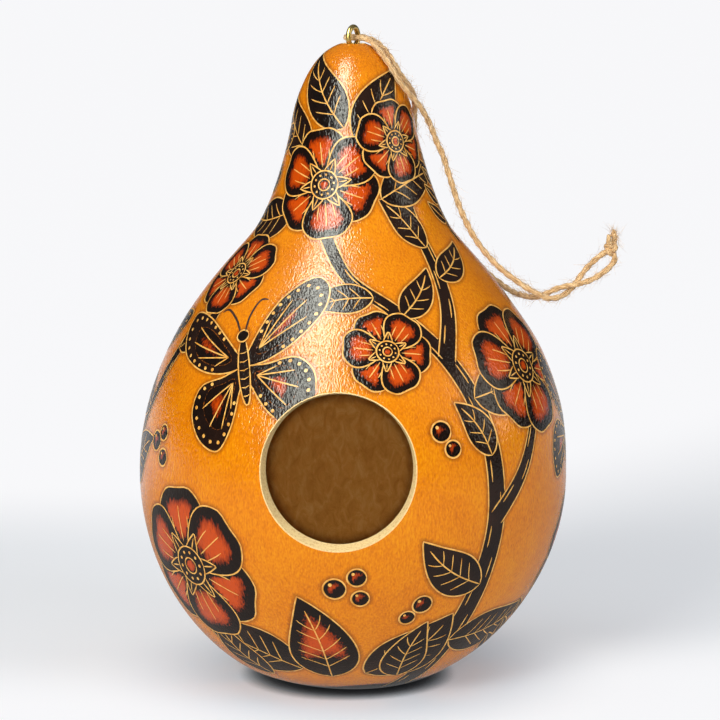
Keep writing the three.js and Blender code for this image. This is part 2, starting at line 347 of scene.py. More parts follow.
@dataclass(frozen=True)
class LacqueredGourd:
    """Dried gourd skin, dyed amber, burnt and dyed in places, and brushed with gloss lacquer.

    The eye gets a deep warm orange with faint upright fibres, charred black drawing with brown
    scorched edges, and a clear coat whose highlights break up on the leathery skin.
    """

    amber_deep: str = "#c66900"
    amber: str = "#da7d00"
    amber_light: str = "#e69506"
    scorch: str = "#7a3606"
    char: str = "#120c0a"
    char_worn: str = "#2c1a12"
    petal: str = "#c24600"
    petal_deep: str = "#932f00"
    petal_burnt: str = "#170d09"
    mottle_mm: float = 14.0
    mottle_share: float = 0.34
    fibre_mm: float = 0.5
    fibre_share: float = 0.46
    fibre_rise: float = 0.28
    fibre_depth_mm: float = 0.12
    leather_mm: float = 0.5
    leather_share: float = 0.36
    leather_rise: float = 0.6
    leather_depth_mm: float = 0.1
    scorch_share: float = 0.7
    scorch_reach_mm: float = 1.7
    ragged_mm: float = 0.5
    soft_edge_mm: float = 0.15
    feathering: float = 0.9
    char_gloss: float = 0.68
    char_brightness: float = 0.01
    bare_brightness: float = 0.15

    def build(self) -> Material:
        """Makes the material; it reads the marks char_edge, dye_edge and dye_tone.

        Returns:
            The material.
        """
        material, add = blank_material("dried_gourd_dyed_and_lacquered")
        places = places_mm(add)
        upright, drawn_out = (
            add("ShaderNodeMapping", {"Vector": places, "Scale": (1.0, 1.0, rise)})
            for rise in (self.fibre_rise, self.leather_rise))
        mottle = add("ShaderNodeTexNoise", {
            "Vector": places, "Scale": 1.0 / self.mottle_mm, "Detail": 4.0, "Roughness": 0.6})
        fibre = add("ShaderNodeTexNoise", {
            "Vector": upright, "Scale": 1.0 / self.fibre_mm, "Detail": 1.5, "Roughness": 0.5})
        leather = add("ShaderNodeTexNoise", {
            "Vector": drawn_out, "Scale": 1.0 / self.leather_mm, "Detail": 0.5, "Roughness": 0.5})
        level = 0.5 - 0.5 * (self.mottle_share + self.fibre_share + self.leather_share)
        for texture, share in ((mottle, self.mottle_share), (fibre, self.fibre_share),
                               (leather, self.leather_share)):
            level = add("ShaderNodeMath", {0: texture, 1: share, 2: level}, operation="MULTIPLY_ADD")
        amber = add("ShaderNodeValToRGB", {"Fac": level})
        ramp_colours(amber, [(0.3, self.amber_deep), (0.5, self.amber), (0.72, self.amber_light)])
        ragged, feathered = (
            add("ShaderNodeMath", {0: texture, 1: size, 2: -0.5 * size}, operation="MULTIPLY_ADD")
            for texture, size in ((leather, self.ragged_mm), (fibre, self.feathering)))
        char_edge, dye_edge, tone = (
            add("ShaderNodeMath", {
                0: add("ShaderNodeAttribute", attribute_name=mark).outputs["Fac"], 1: wander},
                operation="ADD")
            for mark, wander in (("char_edge", ragged), ("dye_edge", ragged), ("dye_tone", feathered)))
        nearest = add("ShaderNodeMath", {0: char_edge, 1: dye_edge}, operation="MINIMUM")
        scorched = add("ShaderNodeMapRange", {
            "Value": nearest, "From Min": 0.0, "From Max": self.scorch_reach_mm,
            "To Min": self.scorch_share, "To Max": 0.0}, interpolation_type="SMOOTHSTEP")
        dye = add("ShaderNodeValToRGB", {"Fac": tone})
        ramp_colours(dye, [(0.1, self.petal), (0.42, self.petal_deep), (0.66, self.petal_burnt)])
        char = add("ShaderNodeValToRGB", {"Fac": mottle})
        ramp_colours(char, [(0.35, self.char), (0.75, self.char_worn)])
        colour = add("ShaderNodeMix", {
            MIX_FACTOR: scorched, MIX_A: amber, MIX_B: linear(self.scorch)},
            data_type="RGBA").outputs[MIX_RESULT]
        for edge, ink in ((dye_edge, dye), (char_edge, char)):
            inked = add("ShaderNodeMapRange", {
                "Value": edge, "From Min": -self.soft_edge_mm, "From Max": self.soft_edge_mm,
                "To Min": 1.0, "To Max": 0.0}, interpolation_type="SMOOTHSTEP")
            colour = add("ShaderNodeMix", {
                MIX_FACTOR: inked, MIX_A: colour, MIX_B: ink}, data_type="RGBA").outputs[MIX_RESULT]
        grain = add("ShaderNodeBump", {
            "Height": fibre, "Distance": self.fibre_depth_mm * MM, "Strength": 1.0})
        relief = add("ShaderNodeBump", {
            "Height": leather, "Distance": self.leather_depth_mm * MM, "Strength": 1.0, "Normal": grain})
        gloss = add("ShaderNodeMapRange", {
            "Value": add("ShaderNodeRGBToBW", {0: colour}), "From Min": self.char_brightness,
            "From Max": self.bare_brightness, "To Min": self.char_gloss, "To Max": 1.0})
        shader = add("ShaderNodeBsdfPrincipled", {
            "Base Color": colour, "Roughness": 0.6, "Specular IOR Level": 0.0,
            "Coat Weight": gloss, "Coat Roughness": 0.16, "Coat IOR": 1.52,
            "Normal": relief, "Coat Normal": relief})
        close_material(add, shader)
        return material


@dataclass(frozen=True)
class SawnFlesh:
    """Pale spongy gourd wall where a hole saw cut it and a stick of abrasive rounded it.

    The eye gets a matt cream band with short dark pores and fibres.
    """

    pale: str = "#f4d898"
    worn: str = "#d8ac6a"
    pore_mm: float = 0.7
    pore_depth_mm: float = 0.12

    def build(self) -> Material:
        """Makes the material of the entry hole's edge.

        Returns:
            The material.
        """
        material, add = blank_material("gourd_flesh_sawn_and_sanded")
        pores = add("ShaderNodeTexNoise", {
            "Vector": places_mm(add), "Scale": 1.0 / self.pore_mm, "Detail": 4.0, "Roughness": 0.65})
        colour = add("ShaderNodeValToRGB", {"Fac": pores})
        ramp_colours(colour, [(0.3, self.worn), (0.52, self.pale)])
        relief = add("ShaderNodeBump", {
            "Height": pores, "Distance": self.pore_depth_mm * MM, "Strength": 1.0})
        shader = add("ShaderNodeBsdfPrincipled", {
            "Base Color": colour, "Roughness": 0.8, "Normal": relief})
        close_material(add, shader)
        return material


@dataclass(frozen=True)
class DryInside:
    """The scraped inside of a dried gourd.

    The eye gets a dull brown paper of pressed fibres with paler flakes.
    """

    dark: str = "#b3742f"
    brown: str = "#c6883e"
    flake: str = "#d6a05a"
    fibre_mm: float = 3.0
    fibre_rise: float = 0.52
    fibre_depth_mm: float = 0.4

    def build(self) -> Material:
        """Makes the material of the nest chamber's wall.

        Returns:
            The material.
        """
        material, add = blank_material("dried_gourd_inside_scraped")
        fibres = add("ShaderNodeTexNoise", {
            "Vector": places_mm(add, self.fibre_rise), "Scale": 1.0 / self.fibre_mm, "Detail": 6.0,
            "Roughness": 0.7, "Distortion": 0.8})
        colour = add("ShaderNodeValToRGB", {"Fac": fibres})
        ramp_colours(colour, [(0.32, self.dark), (0.52, self.brown), (0.74, self.flake)])
        relief = add("ShaderNodeBump", {
            "Height": fibres, "Distance": self.fibre_depth_mm * MM, "Strength": 1.0})
        shader = add("ShaderNodeBsdfPrincipled", {
            "Base Color": colour, "Roughness": 0.9, "Specular IOR Level": 0.15, "Normal": relief})
        close_material(add, shader)
        return material


@dataclass(frozen=True)
class CarvedLine:
    """A fine line cut through the burnt skin into the pale flesh, under the same lacquer.

    The eye gets thin warm cream strokes that vary a little in tone along their length.
    """

    name: str = "carved_line_lacquered"
    pale: str = "#ecb65c"
    warm: str = "#d08c28"
    tone_mm: float = 1.8

    def build(self) -> Material:
        """Makes the material of the cut or burnt strokes.

        Returns:
            The material.
        """
        material, add = blank_material(self.name)
        tone = add("ShaderNodeTexNoise", {
            "Vector": places_mm(add), "Scale": 1.0 / self.tone_mm, "Detail": 2.0})
        colour = add("ShaderNodeValToRGB", {"Fac": tone})
        ramp_colours(colour, [(0.32, self.warm), (0.58, self.pale)])
        shader = add("ShaderNodeBsdfPrincipled", {
            "Base Color": colour, "Roughness": 0.5, "Specular IOR Level": 0.25,
            "Coat Weight": 0.6, "Coat Roughness": 0.25})
        close_material(add, shader)
        return material


@dataclass(frozen=True)
class BrassWire:
    """Drawn brass wire, bent and plated.

    The eye gets a warm yellow mirror, a little dulled, with faint drawing lines.
    """

    bright: str = "#e4cc84"
    tarnish: str = "#c8ad62"
    spot_mm: float = 2.4
    dull: float = 0.34
    polished: float = 0.26

    def build(self) -> Material:
        """Makes the material of the screw eye.

        Returns:
            The material.
        """
        material, add = blank_material("brass_wire_plated")
        spots = add("ShaderNodeTexNoise", {
            "Vector": places_mm(add), "Scale": 1.0 / self.spot_mm, "Detail": 4.0})
        colour = add("ShaderNodeValToRGB", {"Fac": spots})
        ramp_colours(colour, [(0.35, self.tarnish), (0.6, self.bright)])
        rough = add("ShaderNodeMapRange", {
            "Value": spots, "From Min": 0.3, "From Max": 0.7, "To Min": self.dull, "To Max": self.polished})
        shader = add("ShaderNodeBsdfPrincipled", {
            "Base Color": colour, "Metallic": 1.0, "Roughness": rough})
        close_material(add, shader)
        return material


@dataclass(frozen=True)
class JuteTwine:
    """Two plies of raw jute fibre twisted together.

    The eye gets a straw-brown cord with pale long fibres, dark gaps between the plies, and a
    soft bloom of loose hairs. The fibres are drawn wider than real ones so that they show.
    """

    shade: str = "#8e6840"
    straw: str = "#d6ae78"
    pale: str = "#f6deb2"
    fibre_mm: float = 0.22
    fibre_run_mm: float = 3.0
    girth_mm: float = 5.6
    fibre_depth_mm: float = 0.18

    def build(self) -> Material:
        """Makes the material; it reads the piece's own UV map, turns round and millimetres along.

        Returns:
            The material.
        """
        material, add = blank_material("jute_twine_two_ply")
        lay = add("ShaderNodeMapping", {
            "Vector": add("ShaderNodeTexCoord").outputs["UV"],
            "Scale": (self.girth_mm / self.fibre_mm, 1.0 / self.fibre_run_mm, 1.0)})
        fibres = add("ShaderNodeTexNoise", {
            "Vector": lay, "Scale": 1.0, "Detail": 4.0, "Roughness": 0.65})
        colour = add("ShaderNodeValToRGB", {"Fac": fibres})
        ramp_colours(colour, [(0.36, self.shade), (0.5, self.straw), (0.66, self.pale)])
        relief = add("ShaderNodeBump", {
            "Height": fibres, "Distance": self.fibre_depth_mm * MM, "Strength": 1.0})
        shader = add("ShaderNodeBsdfPrincipled", {
            "Base Color": colour, "Roughness": 0.85, "Specular IOR Level": 0.2,
            "Sheen Weight": 0.25, "Sheen Roughness": 0.5, "Normal": relief})
        close_material(add, shader)
        return material


@dataclass
class GourdOutline:
    """The gourd's grown outline: four cubic curves from the foot's edge to the crown.

    A place on it is its length along the outline from the foot's edge, negative on the flat foot.
    """

    height: float = 190.0
    foot_radius: float = 19.5
    foot_handle: Pair = (26.6, 6.0)
    belly: Pair = (63.6, 61.0)
    belly_handles: Pair = (26.0, 40.1)
    waist: Pair = (29.6, 134.2)
    waist_lean: float = 0.78
    waist_handles: Pair = (9.7, 7.7)
    neck: Pair = (18.2, 166.7)
    neck_lean: float = 0.12
    neck_handles: Pair = (4.7, 4.0)
    crown_handle: float = 13.0
    wall: float = 4.5
    crown_wall: float = 8.0
    samples: int = 400
    foot_samples: int = 60

    def __post_init__(self) -> None:
        """Samples the curves: a cubic is the sum of its four points times Bernstein weights.

        The points are one chain, in which a knot's two handles lie on a line that leans in.
        """
        chain = [(self.foot_radius, 0.0), (self.foot_radius + self.foot_handle[0], self.foot_handle[1])]
        for (out, up), lean, (below, above) in (
                (self.belly, 0.0, self.belly_handles), (self.waist, self.waist_lean, self.waist_handles),
                (self.neck, self.neck_lean, self.neck_handles)):
            chain += [(out + below * lean, up - below), (out, up), (out - above * lean, up + above)]
        chain += [(self.crown_handle, self.height), (0.0, self.height)]
        share = np.linspace(0.0, 1.0, self.samples + 1)[:-1, None]
        weights = ((1 - share) ** 3, 3 * (1 - share) ** 2 * share, 3 * (1 - share) * share ** 2, share ** 3)
        curves = [sum(w * np.array(point) for w, point in zip(weights, chain[at:at + 4]))
                  for at in (0, 3, 6, 9)]
        foot = np.linspace(0.0, self.foot_radius, self.foot_samples)[:-1]
        line = np.vstack([np.stack([foot, np.zeros_like(foot)], axis=1), *curves, chain[-1:]])
        self.along = run_along(line) - self.foot_radius
        self.radius, self.up = line[:, 0], line[:, 1]
        slope = unit(np.gradient(line, self.along, axis=0))
        self.face_out, self.face_up = slope[:, 1], -slope[:, 0]
        thick = self.wall + (self.crown_wall - self.wall) * smoothstep(self.neck[1], self.height, self.up)
        self.inner_radius = self.radius - thick * self.face_out
        self.inner_up = self.up - thick * self.face_up

    @property
    def top(self) -> float:
        """Length along the outline at the crown."""
        return float(self.along[-1])

    def read(self, values: Array, along: Array) -> Array:
        """One of the sampled rows at the given lengths along the outline."""
        return np.interp(along, self.along, values)

    def along_at(self, height: Array, inside: bool = False) -> Array:
        """The length along the outline at which the outer or inner wall has a height."""
        grown, heights = self.along >= 0.0, self.inner_up if inside else self.up
        return np.interp(height, heights[grown], self.along[grown])


@dataclass
class GourdSurface:
    """The gourd's outer and inner walls as surfaces of an angle and a length along the outline."""

    outline: GourdOutline = field(default_factory=GourdOutline)
    swell: float = 0.16
    lean: float = 1.0
    lean_from: float = 8.0
    shoulder: float = 0.9
    shoulder_heights: Point = (84.0, 98.0, 114.0)
    foot_fade: Pair = (0.0, 16.0)
    crown_fade: Pair = (2.0, 22.0)
    entry_height: float = 73.3
    mouth_radius: float = 21.9
    bore_radius: float = 20.8

    # Size, waves round the gourd, phase, and radians that the wave turns in each millimetre upwards.
    WAVES = ((1.0, 2, 0.7, 0.031), (0.75, 3, -1.1, -0.052), (0.4, 5, 2.0, 0.087), (0.25, 8, 0.0, -0.13))

    def unevenness(self, angle: Array, along: Array) -> Array:
        """How far the grown skin stands out: a few slow waves round and up, none at foot and crown.

        The gourd grew lopsided: under the belly it is out on its left and in on its right by the sine
        of the angle, and above the belly its right shoulder is out by the square of that sine.

        Args:
            angle: radians round the gourd.
            along: millimetres along the outline.

        Returns:
            Millimetres outwards.
        """
        waves = sum(size * np.sin(count * angle + phase + drift * along)
                    for size, count, phase, drift in self.WAVES)
        fade = smoothstep(*self.foot_fade, along) * smoothstep(*self.crown_fade, self.outline.top - along)
        height = self.outline.read(self.outline.up, along)
        belly = self.outline.belly[1]
        full, falling, gone = self.shoulder_heights
        below = 1.0 - smoothstep(self.lean_from, belly, height)
        above = smoothstep(belly, full, height) * (1.0 - smoothstep(falling, gone, height))
        rightward = np.sin(angle)
        grown = self.shoulder * above * np.maximum(rightward, 0.0) ** 2 - self.lean * below * rightward
        return (self.swell * waves + grown) * fade

    def girth(self, along: Array) -> Array:
        """The outer radius at lengths along the outline."""
        return self.outline.read(self.outline.radius, along)

    def outside(self, angle: Array, along: Array, lift: float = 0.0) -> Array:
        """Points of the outer skin, lifted along its normal.

        Args:
            angle: radians round the gourd.
            along: millimetres along the outline.
            lift: millimetres out from the skin.

        Returns:
            The points.
        """
        shape = self.outline
        reach = lift + self.unevenness(angle, along)
        radius = self.girth(along) + reach * shape.read(shape.face_out, along)
        height = shape.read(shape.up, along) + reach * shape.read(shape.face_up, along)
        return round_axis(angle, radius, height)

    def inside(self, angle: Array, along: Array) -> Array:
        """Points of the inner wall, one wall thickness in from the outer skin."""
        shape = self.outline
        return round_axis(angle, shape.read(shape.inner_radius, along), shape.read(shape.inner_up, along))

    def round_hole(self, bearing: Array, radius: float, inside: bool = False) -> tuple[Array, Array]:
        """Where a circle round the entry hole's axis meets a wall.

        Args:
            bearing: angles round the hole as seen from the front, from +X towards +Z.
            radius: the circle's radius.
            inside: whether to take the inner wall.

        Returns:
            The angle round the gourd and the length along its outline; sin a is x over r.
        """
        shape = self.outline
        along = shape.along_at(self.entry_height + radius * np.sin(bearing), inside)
        girth = shape.read(shape.inner_radius if inside else shape.radius, along)
        return np.arcsin(radius * np.cos(bearing) / girth), along

    def in_hole(self, angle: Array, along: Array, margin: float) -> Array:
        """Whether points of the skin lie within the entry hole or this close to its edge."""
        right, back, up = np.moveaxis(self.outside(angle, along), -1, 0)
        return (np.hypot(right, up - self.entry_height) < self.mouth_radius + margin) & (back < 0.0)


class Ink(Enum):
    """How a drawn shape is made on the gourd."""

    BURNT = "charred with a hot iron"
    DYED = "dyed and shaded with a flame"
    CARVED = "cut as a pale line"


@dataclass(frozen=True)
class Patch:
    """A filled shape: its outline in the motif's own plane, and where its shading starts."""

    outline: Array
    ink: Ink
    root: Pair = (0.0, 0.0)
    reach: float = 1.0


@dataclass(frozen=True)
class Stroke:
    """A thin line in the motif's own plane."""

    line: Array
    width: float = 0.44
    ink: Ink = Ink.CARVED


@dataclass(frozen=True)
class Dot:
    """A small round spot in the motif's own plane."""

    centre: Array
    radius: float


Step = Patch | Stroke | Dot


def turned(points: Array, degrees: float, scale: float = 1.0, shift: Sequence[float] = (0.0, 0.0)) -> Array:
    """Turns points of a plane about its origin, scales them and moves them."""
    c, s = math.cos(math.radians(degrees)), math.sin(math.radians(degrees))
    return scale * np.asarray(points, float) @ np.array([[c, s], [-s, c]]) + np.asarray(shift, float)


def moved(steps: Sequence[Step], degrees: float, scale: float = 1.0,
          shift: Sequence[float] = (0.0, 0.0)) -> list[Step]:
    """A drawing turned, scaled and moved in its plane; line widths stay as they are.

    Args:
        steps: the drawing.
        degrees: its turn to the left.
        scale: its size.
        shift: how far it goes across and up.

    Returns:
        The new steps.
    """
    out: list[Step] = []
    for step in steps:
        if isinstance(step, Patch):
            root = turned(np.array(step.root), degrees, scale, shift)
            outline = turned(step.outline, degrees, scale, shift)
            out.append(Patch(outline, step.ink, tuple(root), step.reach * scale))
        elif isinstance(step, Stroke):
            out.append(Stroke(turned(step.line, degrees, scale, shift), step.width, step.ink))
        else:
            out.append(Dot(turned(step.centre, degrees, scale, shift), step.radius * scale))
    return out


def closed(line: Array) -> Array:
    """A line that ends where it starts."""
    return np.vstack([line, line[:1]])


def rounded_loop(corners: Sequence[Pair], per_side: int = 8) -> Array:
    """A smooth closed line through corners: uniform Catmull-Rom cubics, one for each side.

    Args:
        corners: where the line goes through.
        per_side: points on each side.

    Returns:
        Points along the line.
    """
    points = np.array(corners, float)
    before, after, next_but_one = np.roll(points, 1, 0), np.roll(points, -1, 0), np.roll(points, -2, 0)
    t = np.linspace(0.0, 1.0, per_side, endpoint=False)[None, :, None]
    a, b, c, d = (part[:, None, :] for part in (before, points, after, next_but_one))
    cubic = 0.5 * (2 * b + (c - a) * t + (2 * a - 5 * b + 4 * c - d) * t ** 2
                   + (3 * b - a - 3 * c + d) * t ** 3)
    return cubic.reshape(-1, 2)


def smooth_route(points: Sequence[Sequence[float]], step: float) -> Array:
    """A smooth open line through points, sampled at even steps along its length.

    Each span is a Hermite cubic whose end slopes are finite differences over the square root of
    the chords, which is the centripetal Catmull-Rom curve.

    Args:
        points: the points, in a plane or in space.
        step: the distance between samples.

    Returns:
        The sampled line.
    """
    knots_at = np.asarray(points, float)
    chords = np.linalg.norm(np.diff(knots_at, axis=0), axis=1)
    times = np.concatenate([[0.0], np.cumsum(np.sqrt(chords))])
    slopes = np.gradient(knots_at, times, axis=0)
    fine = np.linspace(0.0, times[-1], ROUTE_SAMPLES * len(knots_at))
    span = np.clip(np.searchsorted(times, fine, side="right") - 1, 0, len(times) - 2)
    width = (times[span + 1] - times[span])[:, None]
    t = ((fine - times[span])[:, None]) / width
    line = ((2 * t ** 3 - 3 * t ** 2 + 1) * knots_at[span]
            + (t ** 3 - 2 * t ** 2 + t) * width * slopes[span]
            + (3 * t ** 2 - 2 * t ** 3) * knots_at[span + 1]
            + (t ** 3 - t ** 2) * width * slopes[span + 1])
    return even_steps(line, step)


def even_steps(line: Array, step: float) -> Array:
    """Samples a line again at even steps along its length.

    Args:
        line: its points.
        step: about how far apart the new ones lie.

    Returns:
        The new points, at least three.
    """
    run = run_along(line)
    places = np.linspace(0.0, run[-1], max(int(round(run[-1] / step)) + 1, 3))
    return np.stack([np.interp(places, run, line[:, axis]) for axis in range(line.shape[1])], axis=1)


def side_of(line: Array) -> Array:
    """Unit vectors across a line in a plane, to its left.

    Args:
        line: its points.

    Returns:
        One vector for each point.
    """
    slope = np.gradient(line, axis=0)
    slope /= np.linalg.norm(slope, axis=1, keepdims=True) + TINY
    return np.stack([-slope[:, 1], slope[:, 0]], axis=1)


@dataclass(frozen=True)
class Leaf:
    """A pointed leaf with a midrib and a few side veins, growing up from its stalk at the origin."""

    length: float
    width: float
    bend: float = 0.0
    veins: int = 4
    ink: Ink = Ink.BURNT

    def draw(self) -> list[Step]:
        """The half width is a sine of the length to a power, and the spine bends as half a sine.

        Returns:
            Its steps.
        """
        t = np.linspace(0.0, 1.0, 29)
        spine = np.stack([self.bend * np.sin(math.pi * t * 0.9), self.length * t], axis=1)
        half = 0.5 * self.width * np.sin(math.pi * t ** 0.72) ** 0.9
        half[[0, -1]] = 0.0
        across = side_of(spine)
        rim = np.vstack([spine - across * half[:, None], (spine + across * half[:, None])[-2:0:-1]])
        steps: list[Step] = [Patch(rim, self.ink, (0.0, 0.0), self.length), Stroke(closed(rim))]
        steps.append(Stroke(spine[:25], 0.42))
        for vein in range(self.veins):
            start = 5 + int(17 * vein / self.veins)
            tips = np.arange(start, min(start + 5, 28))
            reach = np.linspace(0.0, 0.72, len(tips))[:, None]
            for hand in (-1.0, 1.0):
                steps.append(Stroke(spine[tips] + hand * reach * half[tips, None] * across[tips], 0.32))
        return steps


@dataclass(frozen=True)
class Rosette:
    """An open flower: broad dyed petals, burnt at their edges, round a charred, dotted middle."""

    radius: float
    petals: int = 6

    # Each vein's lean across the petal, and where along the petal it ends, as shares.
    VEINS = ((-0.36, 0.6), (0.0, 0.72), (0.36, 0.6))
    # So far from the heart that no shading starts inside it.
    HEART_ROOT = (9.0, 9.0)

    @staticmethod
    def half_width(width: float, t: Array) -> Array:
        """Half of a petal's width at a share of its length: a sine to a power, of that share to a power."""
        return 0.5 * width * np.sin(math.pi * t ** 1.5) ** 0.6

    def petal(self, length: float, width: float) -> list[Step]:
        """One petal along +Y from the flower's middle, notched at its tip, with three fine veins.

        Args:
            length: from the middle to the tip.
            width: across its widest place.

        Returns:
            Its steps.
        """
        t = np.linspace(0.0, 1.0, 25)
        half = self.half_width(width, t)
        half[[0, -1]] = 0.0
        up = length * (t - 0.07 * np.exp(-((t - 1.0) / 0.04) ** 2))
        left, right = np.stack([-half, up], axis=1), np.stack([half, up], axis=1)
        rim = np.vstack([right, left[-2:0:-1]])
        steps: list[Step] = [Patch(rim, Ink.DYED, (0.0, 0.0), length), Stroke(closed(rim))]
        for lean, end in self.VEINS:
            run = np.linspace(0.3, end, 8)
            steps.append(Stroke(np.stack([lean * self.half_width(width, run), length * run], axis=1), 0.34))
        return steps

    def draw(self) -> list[Step]:
        """Every second petal lies over its neighbours, and small burnt sepals stand round the middle.

        Returns:
            Its steps.
        """
        turn = 360.0 / self.petals
        width = FULL_TURN * self.radius * 0.82 / self.petals
        steps: list[Step] = []
        for first in (0, 1):
            for number in range(first, self.petals, 2):
                steps += moved(self.petal(self.radius, width), turn * number)
        sepal = Leaf(0.46 * self.radius, 0.2 * self.radius, 0.0, 0).draw()
        for number in range(self.petals):
            steps += moved(sepal, turn * (number + 0.5))
        disc, heart = circle(28) * self.radius * 0.24, circle(28) * self.radius * 0.1
        steps += [Patch(disc, Ink.BURNT), Stroke(closed(disc)),
                  Patch(heart, Ink.DYED, self.HEART_ROOT, 0.2 * self.radius), Stroke(closed(heart), 0.4)]
        return steps + [Dot(spot, 0.02 * self.radius) for spot in 0.17 * self.radius * circle(10)]


@dataclass(frozen=True)
class Butterfly:
    """A butterfly seen from above, with dotted charred wings and dyed panels in them."""

    span: float

    # The right half, as far across as DRAWN_SPAN.
    DRAWN_SPAN = 47.0
    FORE = ((0.6, 1.0), (5.0, 9.0), (12.0, 17.0), (20.0, 20.5), (23.5, 16.0), (21.5, 8.5), (13.5, 2.0),
            (5.0, -0.6))
    HIND = ((0.6, -1.0), (7.0, -1.4), (14.5, -2.0), (18.5, -8.0), (17.0, -15.5), (11.5, -20.0),
            (6.0, -15.5), (2.4, -8.0))
    FEELER = ((0.7, 9.6), (2.2, 14.0), (5.6, 18.0), (7.6, 17.4))

    @staticmethod
    def drawn_in(rim: Array, shift: float, size: float) -> Array:
        """A wing's outline, shrunk about its middle, with that middle moved towards the body."""
        middle = rim.mean(axis=0)
        return middle * shift + (rim - middle) * size

    def wing(self, corners: Sequence[Pair], hand: float, dots: int) -> list[Step]:
        """One wing: charred rim, smaller dyed panel, spokes from the root and dots inside the rim.

        Args:
            corners: its outline on the right.
            hand: 1 for a right wing and -1 for a left one.
            dots: how many.

        Returns:
            Its steps.
        """
        rim = rounded_loop(corners) * np.array([hand, 1.0])
        if hand < 0:
            rim = rim[::-1]
        root = rim[np.argmin(np.abs(rim[:, 0]))]
        steps: list[Step] = [Patch(rim, Ink.BURNT), Stroke(closed(rim)),
                             Patch(self.drawn_in(rim, 0.88, 0.62), Ink.DYED, tuple(root), 20.0)]
        ends = self.drawn_in(rim, 0.88, 0.66)
        start = root * 0.4 + rim.mean(axis=0) * 0.35
        for number in range(4):
            tip = ends[(len(ends) * (2 * number + 3)) // 15]
            steps.append(Stroke(even_steps(np.vstack([start, tip]), 0.8), 0.4))
        bead = even_steps(closed(self.drawn_in(rim, 0.97, 0.84)), 0.4)
        far = np.linalg.norm(bead, axis=1) > 10.0
        beads = bead[far][:: max(int(far.sum()) // dots, 1)]
        return steps + [Dot(spot, 0.5) for spot in beads]

    def draw(self) -> list[Step]:
        """Hind wings first, then fore wings, then the banded body and the feelers.

        Returns:
            Its steps.
        """
        steps: list[Step] = []
        for corners, dots in ((self.HIND, 11), (self.FORE, 13)):
            for hand in (-1.0, 1.0):
                steps += self.wing(corners, hand, dots)
        body = circle(26) * (1.7, 9.5) + (0.0, -1.5)
        head = circle(26) * (1.8, 1.7) + (0.0, 8.6)
        steps += [Patch(body, Ink.BURNT), Stroke(closed(body), 0.45)]
        for band in range(6):
            up = -8.2 + 2.4 * band
            half = 1.3 * math.sqrt(max(0.0, 1.0 - ((up + 1.5) / 9.5) ** 2))
            steps.append(Stroke(np.array([[-half, up], [0.0, up - 0.35], [half, up]]), 0.36))
        steps += [Patch(head, Ink.BURNT), Stroke(closed(head), 0.45)]
        for hand in (-1.0, 1.0):
            feeler = smooth_route(np.array(self.FEELER) * (hand, 1.0), 0.8)
            steps.append(Stroke(feeler, 0.7, Ink.BURNT))
        return moved(steps, 0.0, self.span / self.DRAWN_SPAN)


@dataclass(frozen=True)
class Sprig:
    """A slim stalk with pairs of leaves and a berry at its tip."""

    length: float
    pairs: int = 3
    bend: float = 6.0
    leaf: float = 14.0

    def draw(self) -> list[Step]:
        """The stalk bends as a quarter sine, and leaf pairs stand on it at even steps.

        Returns:
            Its steps.
        """
        t = np.linspace(0.0, 1.0, 30)
        stalk = np.stack([self.bend * (1.0 - np.cos(0.5 * math.pi * t)), self.length * t], axis=1)
        across = side_of(stalk)
        half = np.linspace(1.2, 0.6, 30)[:, None]
        right, left = stalk - across * half, stalk + across * half
        steps: list[Step] = [Patch(np.vstack([right, left[::-1]]), Ink.BURNT), Stroke(right), Stroke(left)]
        for pair in range(self.pairs):
            place = 6 + int(20 * pair / self.pairs)
            heading = math.degrees(math.atan2(across[place, 1], across[place, 0])) - 180.0
            size = self.leaf * (1.0 - 0.12 * pair)
            for hand in (-1.0, 1.0):
                leaf = Leaf(size, 0.46 * size, 0.06 * size * hand, 0)
                steps += moved(leaf.draw(), heading - 56.0 * hand, 1.0, stalk[place])
        return steps + moved(Berry(0.22 * self.leaf).draw(), 0.0, 1.0, stalk[-1] + [0.0, 0.14 * self.leaf])


@dataclass(frozen=True)
class Berry:
    """A round dyed berry with a charred shade side and a pale glint."""

    radius: float

    def draw(self) -> list[Step]:
        """A circle whose shading starts low on its right side.

        Returns:
            Its steps.
        """
        rim = self.radius * circle(24)
        root = (0.7 * self.radius, -0.7 * self.radius)
        return [Patch(rim, Ink.DYED, root, 3.0 * self.radius), Stroke(closed(rim), 0.5),
                Dot(self.radius * np.array([-0.36, 0.4]), 0.17 * self.radius)]


@dataclass(frozen=True)
class Branch:
    """A charred branch whose line is given on the gourd as angles and heights."""

    line: tuple[Pair, ...]
    thick: float
    thin: float

    def draw(self, route: Array) -> list[Step]:
        """The branch's width runs evenly from thick to thin, and short bark cuts follow it.

        Args:
            route: the line in the motif's plane.

        Returns:
            The branch's steps.
        """
        spine = smooth_route(route, 1.6)
        half = 0.5 * np.linspace(self.thick, self.thin, len(spine))[:, None]
        across = side_of(spine)
        left, right = spine + across * half, spine - across * half
        steps: list[Step] = [Patch(np.vstack([right, left[::-1]]), Ink.BURNT), Stroke(left), Stroke(right)]
        for number, start in enumerate(range(3, len(spine) - 6, 6)):
            side, cut = 0.45 * (-1.0) ** number, slice(start, start + 5)
            steps.append(Stroke(spine[cut] + side * across[cut] * half[cut], 0.4))
        return steps


